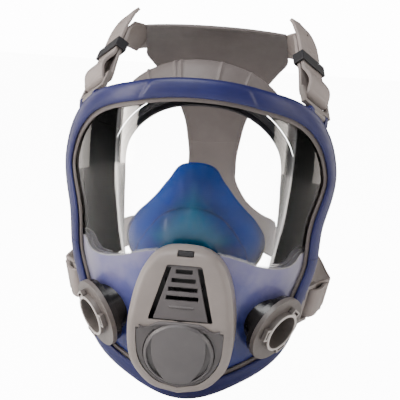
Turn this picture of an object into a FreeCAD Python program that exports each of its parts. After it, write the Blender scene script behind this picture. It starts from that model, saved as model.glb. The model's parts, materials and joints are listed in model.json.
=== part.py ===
import FreeCAD, Part
import math
import os
import Sketcher
from FreeCAD import Placement, Rotation, Vector

# Full-face respirator, worn way up: it faces -Y, +Z is up, and the origin is the middle of the face opening.
# Every free-form wall follows the curved lens, which is part of a barrel turned about a vertical line.

doc = FreeCAD.newDocument("respirator")
sheet = doc.addObject("Spreadsheet::Sheet", "Spreadsheet")

SIZES = (
    ("barrel_y", 15.0, "the barrel's vertical line, behind the origin"),
    ("barrel_r", 102.0, "the lens's greatest radius about that line"),
    ("barrel_z", 60.0, "the height of the greatest radius"),
    ("barrel_rv", 420.0, "the lens's radius in side view"),
    ("lens_thick", 2.2, "lens wall"),
    ("edge_p90", 110.0, "lens edge from the origin, straight up"),
    ("edge_p70", 112.5, "lens edge at 70 degrees"),
    ("edge_p50", 118.5, "lens edge at 50 degrees"),
    ("edge_p30", 107.0, "lens edge at 30 degrees"),
    ("edge_p10", 87.5, "lens edge at 10 degrees"),
    ("edge_m10", 85.0, "lens edge at -10 degrees"),
    ("edge_m30", 87.0, "lens edge at -30 degrees"),
    ("edge_m50", 101.0, "lens edge at -50 degrees"),
    ("edge_m70", 104.5, "lens edge at -70 degrees"),
    ("edge_m90", 110.0, "lens edge, straight down"),
    ("split_z", -8.0, "height where the two ring halves meet"),
    ("port_x", 57.0, "inlet centre on the lens"),
    ("port_z", -54.0, "inlet centre on the lens"),
    ("port_sink", 13.4, "how far the inlet tube reaches inside the lens"),
    ("tube_bore", 13.2, "inlet tube bore radius"),
    ("tube_out", 15.0, "inlet tube outer radius"),
    ("tube_long", 28.4, "inlet tube length"),
    ("flange_r", 25.0, "inlet flange radius"),
    ("flange_low", 20.4, "flange's back face on the tube"),
    ("flange_high", 23.9, "flange's front face on the tube"),
    ("gasket_r", 23.4, "inlet gasket radius, behind the flange"),
    ("sleeve_r", 18.0, "inlet gasket's sleeve radius, on the lens"),
    ("seat_low", 7.5, "inhalation seat on the tube"),
    ("seat_high", 9.5, "inhalation seat on the tube"),
    ("seat_bore", 10.5, "inhalation seat's bore radius"),
    ("valve_room", 14.2, "top of the room over the inhalation valve"),
    ("valve_room_r", 13.8, "radius of the room over the inhalation valve"),
    ("nut_in", 15.3, "inlet nut bore radius"),
    ("nut_out", 19.0, "inlet nut outer radius"),
    ("nut_thick", 3.4, "inlet nut thickness"),
    ("flap_r", 11.8, "inhalation valve radius"),
    ("flap_thick", 0.7, "valve disc thickness"),
    ("stem_r", 1.4, "valve stem radius"),
    ("head_r", 2.4, "valve stem's head radius"),
    ("out_bore", 17.0, "exhalation tube bore radius"),
    ("out_wall", 20.0, "exhalation tube outer radius"),
    ("out_long", 17.0, "exhalation tube length"),
    ("out_seat", 13.5, "exhalation seat's bore radius"),
    ("out_flap", 15.5, "exhalation valve radius"),
    ("cap_r", 24.0, "exhaust cap radius"),
    ("cap_skirt", 22.6, "exhaust cap's skirt outer radius"),
    ("cap_skirt_in", 20.5, "exhaust cap's skirt inner radius"),
    ("cap_high", 16.0, "exhaust cap's whole height"),
    ("speech_r", 13.2, "speech diaphragm radius"),
    ("speech_ring_in", 11.0, "diaphragm ring's bore radius"),
    ("check_in", 5.8, "nose cup valve's bore radius"),
    ("check_out", 7.8, "nose cup valve body radius"),
    ("check_rim", 9.6, "nose cup valve rim radius"),
    ("check_flap", 7.0, "nose cup valve disc radius"),
    ("strap_wide", 23.0, "strap width"),
    ("strap_thick", 2.6, "strap thickness"),
    ("pin_r", 1.25, "buckle pin radius"),
    ("pin_hole", 1.6, "buckle's pin hole radius"),
    ("bar_at", 17.3, "buckle's strap bar, from its pin"),
    ("fold_r", 3.6, "middle of the strap's fold round the bar"),
    ("barrel_half", 6.0, "half the length of a buckle's pin barrel"),
    ("screw_r", 1.5, "ring screw radius"),
)

for row, (word, number, meaning) in enumerate(SIZES, 1):
    sheet.set("A%d" % row, word)
    sheet.set("B%d" % row, str(number))
    sheet.setAlias("B%d" % row, word)
    sheet.set("C%d" % row, meaning)
doc.recompute()

UP = Vector(0, 0, 1)
ACROSS = Vector(1, 0, 0)
STATIONS = 48
STEPS = (90, 70, 50, 30, 10, -10, -30, -50, -70, -90)


def size(word):
    """A size from the sheet, or the plain number itself."""
    if isinstance(word, str):
        return float(sheet.get(word))
    return float(word)


def unit(vector):
    return vector / vector.Length


# ---------------------------------------------------------------- the lens's barrel


def barrel_radius(height, inset=0.0):
    """Radius of the lens's outer face about the barrel's line, less an inset."""
    side = size("barrel_rv")
    drop = side - math.sqrt(side**2 - (height - size("barrel_z")) ** 2)
    return size("barrel_r") - drop - inset


def on_lens(x, z, inset=0.0):
    """The point of the lens's outer face (or of a face inset from it) in front of x and z."""
    radius = barrel_radius(z, inset)
    return Vector(x, size("barrel_y") - math.sqrt(radius**2 - x**2), z)


def lens_normal(point):
    """The way out of the lens at a point on it."""
    side = size("barrel_rv")
    rise = point.z - size("barrel_z")
    slope = rise / math.sqrt(side**2 - rise**2)
    radial = unit(Vector(point.x, point.y - size("barrel_y"), 0))
    return unit(radial + UP * slope)


def smooth(stops, angle):
    """A value that runs smoothly through (angle, value) stops from 90 down to -90 degrees."""
    angle = (angle + 90) % 360 - 90
    if angle > 90:
        angle = 180 - angle
    slopes = [0.0]
    for before, after in zip(stops, stops[2:]):
        slopes.append((after[1] - before[1]) / (after[0] - before[0]))
    slopes.append(0.0)
    for i in range(len(stops) - 1):
        (a0, v0), (a1, v1) = stops[i], stops[i + 1]
        if a1 <= angle <= a0:
            span = a1 - a0
            k = (angle - a0) / span
            value = (2 * k**3 - 3 * k**2 + 1) * v0 + (3 * k**2 - 2 * k**3) * v1
            return value + (k**3 - 2 * k**2 + k) * span * slopes[i] + (k**3 - k**2) * span * slopes[i + 1]
    return stops[-1][1]


def edge_word(step):
    return "edge_%s%d" % ("p" if step > 0 else "m", abs(step))


EDGE = [(step, size(edge_word(step))) for step in STEPS]


def polar(radius, angle):
    turn = math.radians(angle)
    return radius * math.cos(turn), radius * math.sin(turn)


def edge_point(angle):
    x, z = polar(smooth(EDGE, angle), angle)
    return on_lens(x, z)


def edge_frame(angle):
    """The lens edge at an angle: its point, the way out of the lens, the way off its edge and along it."""
    point = edge_point(angle)
    along = unit(edge_point(angle + 0.5) - edge_point(angle - 0.5))
    out = lens_normal(point)
    off = unit(out.cross(along))
    if off.dot(Vector(point.x, 0, point.z)) < 0:
        off = off * -1
    return point, out, off, along


def beside_edge(angle, off_by, out_by):
    """A point given by its distances off the lens edge and out of the lens."""
    point, out, off, _ = edge_frame(angle)
    return point + off * off_by + out * out_by


# ---------------------------------------------------------------- solids


def curve_through(points, closed=False):
    """A smooth edge through points, one step of its parameter for each."""
    last = len(points) + 1 if closed else len(points)
    curve = Part.BSplineCurve()
    curve.interpolate(Points=points, PeriodicFlag=closed, Parameters=[float(i) for i in range(last)])
    return curve.toShape()


def band(sections, closed):
    """A solid through cross-sections that all have the same number of corners."""
    corners = len(sections[0])
    edges = [curve_through([section[i] for section in sections], closed) for i in range(corners)]
    faces = [Part.makeRuledSurface(edges[i], edges[(i + 1) % corners]) for i in range(corners)]
    if not closed:
        faces += [Part.Face(Part.makePolygon(ends + ends[:1])) for ends in (sections[0], sections[-1])]
    shell = Part.makeShell(faces)
    shell.sewShape()
    solid = Part.makeSolid(shell)
    if solid.Volume < 0:
        solid.reverse()
    return solid


def outline_face(points, y):
    """A flat face in the plane of y, inside a smooth closed curve through (x, z) points."""
    curve = Part.BSplineCurve()
    curve.interpolate([Vector(x, y, z) for x, z in points], PeriodicFlag=True)
    return Part.Face(Part.Wire(curve.toShape()))


def prism(face, depth):
    return face.extrude(Vector(0, depth, 0))


def polygon_prism(points, direction):
    return Part.Face(Part.makePolygon(list(points) + [points[0]])).extrude(direction)


def rod(start, direction, radius, length):
    return Part.makeCylinder(radius, length, start, direction)


def block(frame, low, high):
    """A box between two corners given in a frame of (origin, x way, y way, z way)."""
    origin, x_way, y_way, z_way = frame
    shape = Part.makeBox(high[0] - low[0], high[1] - low[1], high[2] - low[2], Vector(*low))
    shape.Placement = Placement(origin, Rotation(x_way, y_way, z_way, "ZXY"))
    return shape


def feature(label, shape):
    """A named piece whose shape is worked out from the sheet's sizes."""
    piece = doc.addObject("Part::Feature", label)
    piece.Shape = shape
    piece.Placement = shape.Placement
    piece.Label = label
    return piece


def mirrored(label, source):
    """The same piece for the other side."""
    piece = doc.addObject("Part::Mirroring", label)
    piece.Source = source
    piece.Base = Vector(0, 0, 0)
    piece.Normal = ACROSS
    piece.Label = label
    return piece


def tie(sketch, axis, corner, word):
    """Holds one corner of a profile at a distance from the sketch's axis."""
    number = size(word)
    if abs(number) < 1e-9:
        line = -2 if axis == "X" else -1
        sketch.addConstraint(Sketcher.Constraint("PointOnObject", corner, 1, line))
        return
    rule = Sketcher.Constraint("Distance" + axis, -1, 1, corner, 1, number)
    index = sketch.addConstraint(rule)
    if isinstance(word, str):
        name = "%s_%d" % (axis.lower(), corner)
        sketch.renameConstraint(index, name)
        sketch.setExpression("Constraints." + name, "Spreadsheet." + word)


def turned(label, profile, placement):
    """A body turned about its own Z axis from a closed profile of (radius, height) corners."""
    body = doc.addObject("PartDesign::Body", label)
    sketch = body.newObject("Sketcher::SketchObject", label + "_profile")
    plane = [item for item in body.Origin.OriginFeatures if item.Role == "XZ_Plane"][0]
    sketch.AttachmentSupport = [(plane, "")]
    sketch.MapMode = "FlatFace"
    corners = [Vector(size(radius), size(height), 0) for radius, height in profile]
    count = len(corners)
    for i in range(count):
        sketch.addGeometry(Part.LineSegment(corners[i], corners[(i + 1) % count]), False)
    for i in range(count):
        sketch.addConstraint(Sketcher.Constraint("Coincident", i, 2, (i + 1) % count, 1))
    for i, (radius, height) in enumerate(profile):
        tie(sketch, "X", i, radius)
        tie(sketch, "Y", i, height)
    turn = body.newObject("PartDesign::Revolution", label + "_turn")
    turn.Profile = sketch
    turn.ReferenceAxis = (sketch, ["V_Axis"])
    turn.Angle = 360
    sketch.Visibility = False
    body.Tip = turn
    body.Placement = placement
    body.Label = label
    return body


def aimed(point, axis, side=UP):
    """A placement at a point, its Z along the axis and its X as near the side as it can be."""
    return Placement(point, Rotation(side, axis.cross(side), axis, "ZXY"))


# ---------------------------------------------------------------- lens and its ring


def barrel_solid(inset):
    """The whole solid inside the lens's outer face, or inside a face inset from it."""
    low, high = -135.0, 130.0
    radius = size("barrel_rv") - inset
    middle = Vector(size("barrel_r") - size("barrel_rv"), 0, size("barrel_z"))
    ends = []
    for height in (low, high):
        reach = math.sqrt(radius**2 - (height - middle.z) ** 2)
        ends.append(Vector(middle.x + reach, 0, height))
    bulge = Part.Arc(ends[0], Vector(middle.x + radius, 0, middle.z), ends[1]).toShape()
    lines = [Part.makeLine(ends[1], Vector(0, 0, high)), Part.makeLine(Vector(0, 0, high), Vector(0, 0, low))]
    lines.append(Part.makeLine(Vector(0, 0, low), ends[0]))
    solid = Part.Face(Part.Wire([bulge] + lines)).revolve(Vector(0, 0, 0), UP, 360)
    solid.translate(Vector(0, size("barrel_y"), 0))
    return solid


PORT_WAY = unit(Vector(0.77, -0.52, -0.37))
PORT = on_lens(size("port_x"), size("port_z"))

# The exhaust's axis leans down and forward from a point in front of the lens.
OUT_WAY = unit(Vector(0, -0.951, -0.309))
OUT = Vector(0, -75.5, -61.7)
SPEECH = Vector(0, 0, -21)

COVER_POINTS = (
    (0, 3.5), (11, 2.4), (20, -2), (26.8, -10), (31.2, -20), (34.4, -34), (36.2, -53), (34.8, -73),
    (29, -86), (17.5, -97), (0, -102),
)
COVER_OUTLINE = list(COVER_POINTS) + [(-x, z) for x, z in reversed(COVER_POINTS[1:-1])]


def grown(points, offset):
    """A closed outline of (x, z) points moved outward by an offset."""
    curve = Part.BSplineCurve()
    curve.interpolate([Vector(x, 0, z) for x, z in points], PeriodicFlag=True)
    first, last = curve.FirstParameter, curve.LastParameter
    moved = []
    for i in range(36):
        where = first + (last - first) * i / 36
        point = curve.value(where)
        ahead = curve.tangent(where)[0]
        away = Vector(ahead.z, 0, -ahead.x)
        if away.dot(point - Vector(0, 0, -48)) < 0:
            away = away * -1
        moved.append((point.x + away.x * offset, point.z + away.z * offset))
    return moved


def cover_prism(offset, front, back):
    """The front cover's outline grown by an offset, drawn out between two depths."""
    outline = grown(COVER_OUTLINE, offset)
    return prism(outline_face(outline, front), back - front)


def beyond_edge_section(angle):
    """What is cut away round the lens, so that its edge stands square to its faces."""
    return [beside_edge(angle, off, out) for off, out in ((2.0, 1.5), (12.0, 1.5), (12.0, -8.0), (2.0, -8.0))]


def both_ports(low, radius, length):
    """A rod on each inlet's axis, from a height above the lens."""
    rods = []
    for side in (1, -1):
        way = Vector(PORT_WAY.x * side, PORT_WAY.y, PORT_WAY.z)
        start = Vector(PORT.x * side, PORT.y, PORT.z) + way * low
        rods.append(rod(start, way, radius, length))
    return Part.makeCompound(rods)


def lens_shape():
    """The lens, open behind the housing and round each inlet."""
    outline = []
    for i in range(STATIONS):
        point = beside_edge(-90 + 360 * i / STATIONS, 5.0, 0)
        outline.append((point.x, point.z))
    wall = barrel_solid(0).cut(barrel_solid(size("lens_thick")))
    wall = wall.common(prism(outline_face(outline, -120), 145))
    wall = wall.cut(cover_prism(-7.6, -120, 0))
    wall = wall.cut(both_ports(-15, size("tube_out") + 0.5, 30))
    wall = wall.cut(band(round_sections(beyond_edge_section), True))
    return max(wall.Solids, key=lambda solid: solid.Volume)


def without_inlets(shape):
    """A wall beside the lens's edge, cleared for the inlet gaskets and flanges."""
    shape = shape.cut(both_ports(-1.5, size("sleeve_r") + 0.5, 30))
    shape = shape.cut(both_ports(2.1, size("gasket_r") + 0.5, 30))
    return shape.cut(both_ports(6.6, size("flange_r") + 0.5, 30))


def round_sections(section):
    return [section(-90 + 360 * i / STATIONS) for i in range(STATIONS)]


def ring_section(angle):
    """The ring's hooked section: a front lip, an outer web and a back lip."""
    corners = (
        (-7.5, 1.7), (-8.0, 3.0), (-6.5, 4.4), (3.6, 4.4), (5.4, 3.0), (5.4, -7.4), (4.4, -8.3),
        (-3.6, -8.3), (-3.6, -5.4), (3.2, -5.4), (3.2, 1.7),
    )
    return [beside_edge(angle, off, out) for off, out in corners]


def split_angle():
    """The angle at which the lens edge crosses the height where the ring halves meet."""
    low, high = -30.0, 10.0
    for _ in range(40):
        middle = (low + high) / 2
        if edge_point(middle).z < size("split_z"):
            low = middle
        else:
            high = middle
    return low


SPLIT = split_angle()
JOINT_GAP = 0.35


def joint_frame(side):
    """A frame at a ring joint: its x way runs off the edge, its y way out of the lens, its z way up."""
    point, out, off, along = edge_frame(SPLIT)
    if along.z < 0:
        along = along * -1
    frame = [point, off, out, along]
    if side < 0:
        frame = [Vector(-v.x, v.y, v.z) for v in frame]
    return frame


def joint_lug(side, low, high):
    """A clamping lug behind the ring at a joint, with its screw hole."""
    point, off, out, along = joint_frame(side)
    corners = []
    for across, deep in ((4.8, -7.8), (12.4, -7.8), (12.4, -0.8), (4.8, -0.8)):
        corners.append(point + off * across + out * deep + along * low)
    lug = polygon_prism(corners, along * (high - low))
    hole = rod(point + off * 8.9 + out * -4.3 + along * -20, along, size("screw_r") + 0.15, 40)
    return lug.cut(hole)


def ring_half(low, high, lugs):
    count = 25
    angles = [low + (high - low) * i / (count - 1) for i in range(count)]
    shape = band([ring_section(angle) for angle in angles], False)
    for side in (1, -1):
        shape = shape.fuse(joint_lug(side, *lugs))
    return shape


def screw_shape(side):
    point, off, out, along = joint_frame(side)
    middle = point + off * 8.9 + out * -4.3
    shank = rod(middle + along * -12.5, along, size("screw_r"), 21.0)
    head = rod(middle + along * 7.6, along, 2.8, 2.2)
    slot = rod(middle + along * 9.2, along, 1.2, 1.0)
    return shank.fuse(head).cut(slot)


def nut_shape(side):
    point, off, out, along = joint_frame(side)
    middle = point + off * 8.9 + out * -4.3 + along * -10.2
    corners = []
    for i in range(6):
        turn = math.radians(60 * i)
        corners.append(middle + off * (3.1 * math.cos(turn)) + out * (3.1 * math.sin(turn)))
    return polygon_prism(corners, along * 2.4).cut(rod(middle - along, along, size("screw_r") + 0.1, 5))


# ---------------------------------------------------------------- rubber facepiece

RIM_R = (
    (90, 108), (70, 106), (50, 98), (30, 84), (10, 74),
    (-10, 71), (-30, 74), (-50, 86), (-70, 96), (-90, 101),
)
RIM_Y = (
    (90, -34), (70, -26), (50, -8), (30, 12), (10, 22),
    (-10, 22), (-30, 16), (-50, 4), (-70, -8), (-90, -12),
)
BULGE = ((90, 21), (70, 17), (55, 7), (40, 2), (10, 2), (-10, 2), (-40, 2), (-60, 1), (-75, 0), (-90, 0))
LIP_R = (
    (90, 93), (70, 92), (50, 84), (30, 67), (10, 59),
    (-10, 58), (-30, 62), (-50, 72), (-70, 82), (-90, 88),
)
LIP_Y = (
    (90, -26), (70, -19), (50, -5), (30, 8), (10, 14),
    (-10, 14), (-30, 9), (-50, -1), (-70, -12), (-90, -16),
)


def rim_point(angle, inward=0.0, back=0.0):
    """A point of the facepiece's rear rim."""
    x, z = polar(smooth(RIM_R, angle) - inward, angle)
    return Vector(x, smooth(RIM_Y, angle) + back, z)


def lip_point(angle, inward=0.0, back=0.0):
    """A point of the face seal's inner lip."""
    x, z = polar(smooth(LIP_R, angle) - inward, angle)
    return Vector(x, smooth(LIP_Y, angle) + back, z)


def wall_point(angle, inward=0.0):
    """A point half way down the facepiece's side wall."""
    neck = beside_edge(angle, -4.6, -9.6)
    rim = rim_point(angle)
    x, z = polar(smooth(BULGE, angle) - inward, angle)
    return (neck + rim) * 0.5 + Vector(x, 0, z)


def skirt_section(angle):
    """The facepiece's section: a channel round the lens edge, then a wall back to the rear rim."""
    return [
        beside_edge(angle, -10.5, 1.4),
        beside_edge(angle, 2.9, 1.4),
        beside_edge(angle, 2.9, -5.1),
        beside_edge(angle, -4.2, -5.1),
        beside_edge(angle, -4.2, -9.2),
        wall_point(angle),
        rim_point(angle),
        rim_point(angle, 1.4, 1.6),
        rim_point(angle, 3.6, 0.8),
        wall_point(angle, 2.8),
        beside_edge(angle, -7.4, -8.6),
        beside_edge(angle, -7.4, -2.5),
        beside_edge(angle, 2.3, -2.5),
        beside_edge(angle, 2.3, 0.2),
        beside_edge(angle, -10.5, 0.2),
    ]


def seal_section(angle):
    """The face seal's section: a soft flap from inside the rear rim to the lip round the face."""
    return [
        rim_point(angle, 4.0, 0.6),
        rim_point(angle, 7.0, 3.0),
        lip_point(angle, -5.0, 4.2),
        lip_point(angle, 0.0, 0.0),
        lip_point(angle, -1.6, -1.4),
        lip_point(angle, -6.0, 1.8),
        rim_point(angle, 7.6, -1.0),
    ]


# ---------------------------------------------------------------- nose cup

CUP_MID_R = (
    (90, 25), (70, 24), (45, 26), (20, 31), (0, 37),
    (-30, 40), (-55, 46), (-70, 68), (-80, 80), (-90, 83),
)
CUP_MID_Y = (
    (90, -72), (70, -70), (45, -65), (20, -60), (0, -55),
    (-30, -47), (-55, -44), (-70, -38), (-90, -34),
)
CUP_REAR_R = (
    (90, 55.5), (77, 54), (65, 46.5), (48, 41.5), (32, 41.5), (16, 45.5), (0, 50.5),
    (-15, 51.5), (-35, 51), (-55, 58), (-70, 71), (-80, 78), (-90, 81),
)
CUP_REAR_Y = (
    (90, -52), (70, -47), (45, -37), (20, -27), (0, -20),
    (-30, -11), (-55, -8), (-70, -12), (-90, -16),
)
CUP_FRONT = 46.0


def cup_front_point(angle, inward=0.0, inset=8.4):
    """A point of the nose cup's front opening, on the back of the housing."""
    turn = math.radians(angle)
    x = (21.5 - inward) * math.cos(turn)
    z = -CUP_FRONT + (34.0 - inward) * math.sin(turn)
    return on_lens(x, z, inset)


def cup_point(radii, depths, angle, inward=0.0, back=0.0):
    x, z = polar(smooth(radii, angle) - inward, angle)
    return Vector(x, smooth(depths, angle) + back, z)


def cup_section(angle):
    """The nose cup's wall, from the housing back to its edge on the face."""
    return [
        cup_front_point(angle),
        cup_front_point(angle, -3.0, 9.4),
        cup_point(CUP_MID_R, CUP_MID_Y, angle),
        cup_point(CUP_REAR_R, CUP_REAR_Y, angle),
        cup_point(CUP_REAR_R, CUP_REAR_Y, angle, 3.0, 1.6),
        cup_point(CUP_REAR_R, CUP_REAR_Y, angle, 2.6, -1.0),
        cup_point(CUP_MID_R, CUP_MID_Y, angle, 2.2, 1.0),
        cup_front_point(angle, -1.0, 11.4),
        cup_front_point(angle, 0.0, 10.4),
    ]


CHECK = Vector(35.0, -52.0, -24.0)
CHECK_WAY = unit(Vector(0.80, -0.58, -0.05))


def wall_hit(solid, start, way):
    """Where a line leaves a solid for the last time."""
    met = solid.common(Part.makeLine(start, start + way * 80))
    return max((corner.Point for corner in met.Vertexes), key=lambda point: (point - start).dot(way))


def wall_frame(solid, start, way):
    """The outer point of a wall on a line, and the wall's way out there."""
    side = unit(way.cross(UP))
    rise = side.cross(way)
    hits = [wall_hit(solid, start + step * 5, way) for step in (side, rise, side * -1, rise * -1)]
    normal = unit((hits[0] - hits[2]).cross(hits[1] - hits[3]))
    if normal.dot(way) < 0:
        normal = normal * -1
    return wall_hit(solid, start, way), normal


# ---------------------------------------------------------------- front housing


def between(outer_inset, inner_inset):
    """The layer between two faces that follow the lens."""
    return barrel_solid(outer_inset).cut(barrel_solid(inner_inset))


def housing_body_shape():
    """The block that passes through the lens: it carries the speech diaphragm and the exhaust."""
    shape = cover_prism(-8, -88, -15).cut(barrel_solid(8))
    flange = cover_prism(-3.5, -100, -20).cut(cover_prism(-9, -100, -20))
    shape = shape.fuse(flange.common(between(-3.4, -1.7)))
    front = Vector(SPEECH.x, -95, SPEECH.z)
    shape = shape.cut(rod(front, Vector(0, 1, 0), size("speech_r") + 0.3, 15))
    shape = shape.cut(rod(front, Vector(0, 1, 0), size("speech_ring_in"), 70))
    shape = shape.cut(rod(OUT + OUT_WAY * 2.8, OUT_WAY, size("out_wall") + 0.3, 30))
    shape = shape.cut(rod(OUT + OUT_WAY * 13.3, OUT_WAY, size("cap_skirt") + 0.6, 30))
    return shape.cut(rod(OUT - OUT_WAY * 45, OUT_WAY, 14.0, 60))


def frame_layer(outer_inset, inner_inset):
    """A frame that follows the housing's outline in a layer along the lens."""
    frame = cover_prism(-3.5, -100, -20).cut(cover_prism(-7.5, -100, -20))
    return frame.common(between(outer_inset, inner_inset))


FRONT_PROFILE = ((-15, 5), (-91, 5), (-97.5, -1), (-107, -48), (-92.5, -96), (-86, -104), (-15, -104))
BACK_PROFILE = ((-15, 1), (-89.6, 1), (-94.9, -2.2), (-104.3, -48), (-90.0, -95), (-84.8, -99.5), (-15, -99.5))


def profile_prism(profile):
    return polygon_prism([Vector(-45, y, z) for y, z in profile], Vector(90, 0, 0))


def front_layer(outer, inner):
    """A layer a set depth behind the cover's front, following its bend at the ledge."""
    corners = [(-97.3, 0), (-107, -48), (-92.2, -97)]
    front = [Vector(-45, y + outer, z) for y, z in corners]
    back = [Vector(-45, y + inner, z) for y, z in reversed(corners)]
    return polygon_prism(front + back, Vector(90, 0, 0))


def flat_prism(points):
    """A prism along the depth from (x, z) corners."""
    return polygon_prism([Vector(x, -120, z) for x, z in points], Vector(0, 60, 0))


def mirrored_corners(points):
    return list(points) + [(-x, z) for x, z in reversed(points)]


def cap_room():
    """The space the exhaust cap turns in."""
    return rod(OUT + OUT_WAY * 13.3, OUT_WAY, size("cap_r") + 0.6, 40)


def cover_shape():
    """The front cover, open over the grille, the latch and the exhaust."""
    outer = cover_prism(0, -115, -15).common(profile_prism(FRONT_PROFILE))
    hollow = cover_prism(-2.4, -115, -15).common(profile_prism(BACK_PROFILE))
    ledge = flat_prism(mirrored_corners([(14, -46.4), (27, -50.5), (27, -52.3), (14, -48.6)]))
    ledge = ledge.common(front_layer(-1.4, 2.4))
    shape = outer.cut(hollow).cut(barrel_solid(-1.9))
    shape = shape.cut(flat_prism(mirrored_corners([(11.9, -9.0), (22.1, -45.5)])))
    shield = cover_prism(-6.4, -120, -75).common(Part.makeBox(90, 60, 60, Vector(-45, -125, -112)))
    shape = shape.cut(shield)
    latch = Part.makeBox(11.4, 30, 4.2, Vector(-5.7, -115, -3.6))
    return shape.cut(latch).fuse(ledge).cut(cap_room())


def latch_shape():
    """The latch that shows through the top of the cover, on a foot in front of the housing."""
    foot = Part.makeBox(7.0, 2.2, 4.6, Vector(-3.5, -90.3, -7.2))
    return Part.makeBox(10.6, 7.0, 3.4, Vector(-5.3, -96.4, -3.2)).fuse(foot)


def grille_shape():
    """The louvred plate over the speech diaphragm."""
    plate = flat_prism(mirrored_corners([(8.4, -9.3), (18.6, -45.2)])).common(front_layer(1.2, 3.6))
    rail = flat_prism([(-12, -9.3), (12, -9.3), (12.4, -10.8), (-12.4, -10.8)])
    plate = plate.fuse(rail.common(front_layer(1.2, 3.6)))
    for i, half in enumerate((5.7, 8.2, 9.9, 11.0)):
        slot = Part.makeBox(2 * half, 40, 3.0, Vector(-half, -120, -15.0 - 5.8 * i))
        plate = plate.cut(slot)
    ridge = Part.makeBox(17, 30, 0.9, Vector(-8.5, -118, -37.2)).common(front_layer(0.4, 2.2))
    return plate.fuse(ridge)


def shield_shape():
    """The lower front plate round the exhaust cap."""
    shape = cover_prism(-6.8, -120, -75).common(front_layer(0.6, 3.0))
    shape = shape.common(Part.makeBox(90, 60, 48.7, Vector(-45, -125, -101.5)))
    return shape.cut(cap_room())


def spider(hub, hole, reach, low, high, arms):
    """A hub on spokes, about the local Z axis."""
    shape = rod(Vector(0, 0, low), UP, hub, high - low)
    for i in range(arms):
        arm = Part.makeBox(reach, 2.0, high - low, Vector(0, -1.0, low))
        arm.rotate(Vector(0, 0, 0), UP, 360 * i / arms + 45)
        shape = shape.fuse(arm)
    return shape.cut(rod(Vector(0, 0, low - 1), UP, hole, high - low + 2))


def placed(shape, placement):
    shape.Placement = placement.multiply(shape.Placement)
    return shape


def fused(label, base, extra):
    """A turned body joined to its plain extras."""
    extras = feature(label + "_extras", extra)
    whole = doc.addObject("Part::Fuse", label)
    whole.Base = base
    whole.Tool = extras
    whole.Label = label
    return whole


def carved(label, base, extra):
    """A turned body less its pockets."""
    pockets = feature(label + "_pockets", extra)
    whole = doc.addObject("Part::Cut", label)
    whole.Base = base
    whole.Tool = pockets
    whole.Label = label
    return whole


def inlet_extras(placement):
    shape = spider(3.3, 1.8, 11.2, size("seat_low"), size("seat_high"), 4)
    for i in range(3):
        lug = Part.makeBox(4.2, 9.4, 3.6, Vector(14.6, -4.7, 24.4))
        lug = lug.cut(Part.makeBox(1.9, 6.6, 3.0, Vector(15.9, -3.3, 25.6)))
        lug.rotate(Vector(0, 0, 0), UP, 120 * i + 90)
        shape = shape.fuse(lug)
    return placed(shape, placement)


def nut_notches(placement):
    shape = Part.makeBox(3, 5, 9, Vector(17.6, -2.5, -2))
    for i in range(1, 6):
        notch = Part.makeBox(3, 5, 9, Vector(17.6, -2.5, -2))
        notch.rotate(Vector(0, 0, 0), UP, 60 * i)
        shape = shape.fuse(notch)
    return placed(shape, placement)


def cap_pockets(placement):
    """Two crescents for the fingers, and the vents round the skirt."""
    disc = rod(Vector(0, 0, 12.3), UP, 21.8, 8)
    grip = rod(Vector(6, -22, 12), UP, 40.5, 9).common(rod(Vector(6, 22, 12), UP, 40.5, 9))
    shape = disc.cut(grip)
    for i in range(12):
        vent = Part.makeBox(8, 6, 5, Vector(18, -3, 2.5))
        vent.rotate(Vector(0, 0, 0), UP, 30 * i)
        shape = shape.fuse(vent)
    return placed(shape, placement)


# ---------------------------------------------------------------- buckles and straps


def buckle_frame(angle, pin_angle, off_by, out_by, lead):
    """A buckle's frame: its pin's middle, the ways of strap, pin and face, then the ring's off and out."""
    point, out, off, _ = edge_frame(angle)
    along = edge_frame(pin_angle)[3]
    pin = point + off * off_by + out * out_by
    off = unit(off - along * off.dot(along))
    out = unit(out - along * out.dot(along))
    strap = unit(lead - along * lead.dot(along))
    face = unit(strap.cross(along))
    if face.dot(out) < 0:
        face = face * -1
    return pin, strap, strap.cross(face) * -1, face, off, out


UPPER = buckle_frame(47, 52, 9.8, -4.5, Vector(-0.12, 0.75, 0.645))
LOWER = buckle_frame(-33, -33, 9.8, -1.5, Vector(0.45, 0.88, 0.10))


def at(frame, along_strap, along_pin, outward):
    origin, strap, pin, face = frame[:4]
    return origin + strap * along_strap + pin * along_pin + face * outward


def slab(frame, low, high):
    """A box in a buckle's frame."""
    ends = ((low[0], low[1]), (high[0], low[1]), (high[0], high[1]), (low[0], high[1]))
    corners = [at(frame, along_strap, along_pin, low[2]) for along_strap, along_pin in ends]
    return polygon_prism(corners, frame[3] * (high[2] - low[2]))


def rod_in(frame, along_strap, half, radius):
    return rod(at(frame, along_strap, -half, 0), frame[2], radius, 2 * half)


def ears(frame):
    """The ring's two ears for a buckle's pin."""
    shape = None
    for low in (-9.6, 6.5):
        ear = rod(at(frame, 0, low, 0), frame[2], 3.4, 3.1).fuse(ear_foot(frame, low))
        shape = ear if shape is None else shape.fuse(ear)
    return shape.cut(rod_in(frame, 0, 20, size("pin_r") + 0.06))


def ear_foot(frame, low):
    """The web that joins an ear to the ring's edge."""
    pin, along, off, out = frame[0], frame[2], frame[4], frame[5]
    section = ((-5.5, -2.9), (0.0, -3.4), (0.0, 3.4), (-5.5, 4.2))
    return polygon_prism([pin + off * a + out * b + along * low for a, b in section], along * 3.1)


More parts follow.
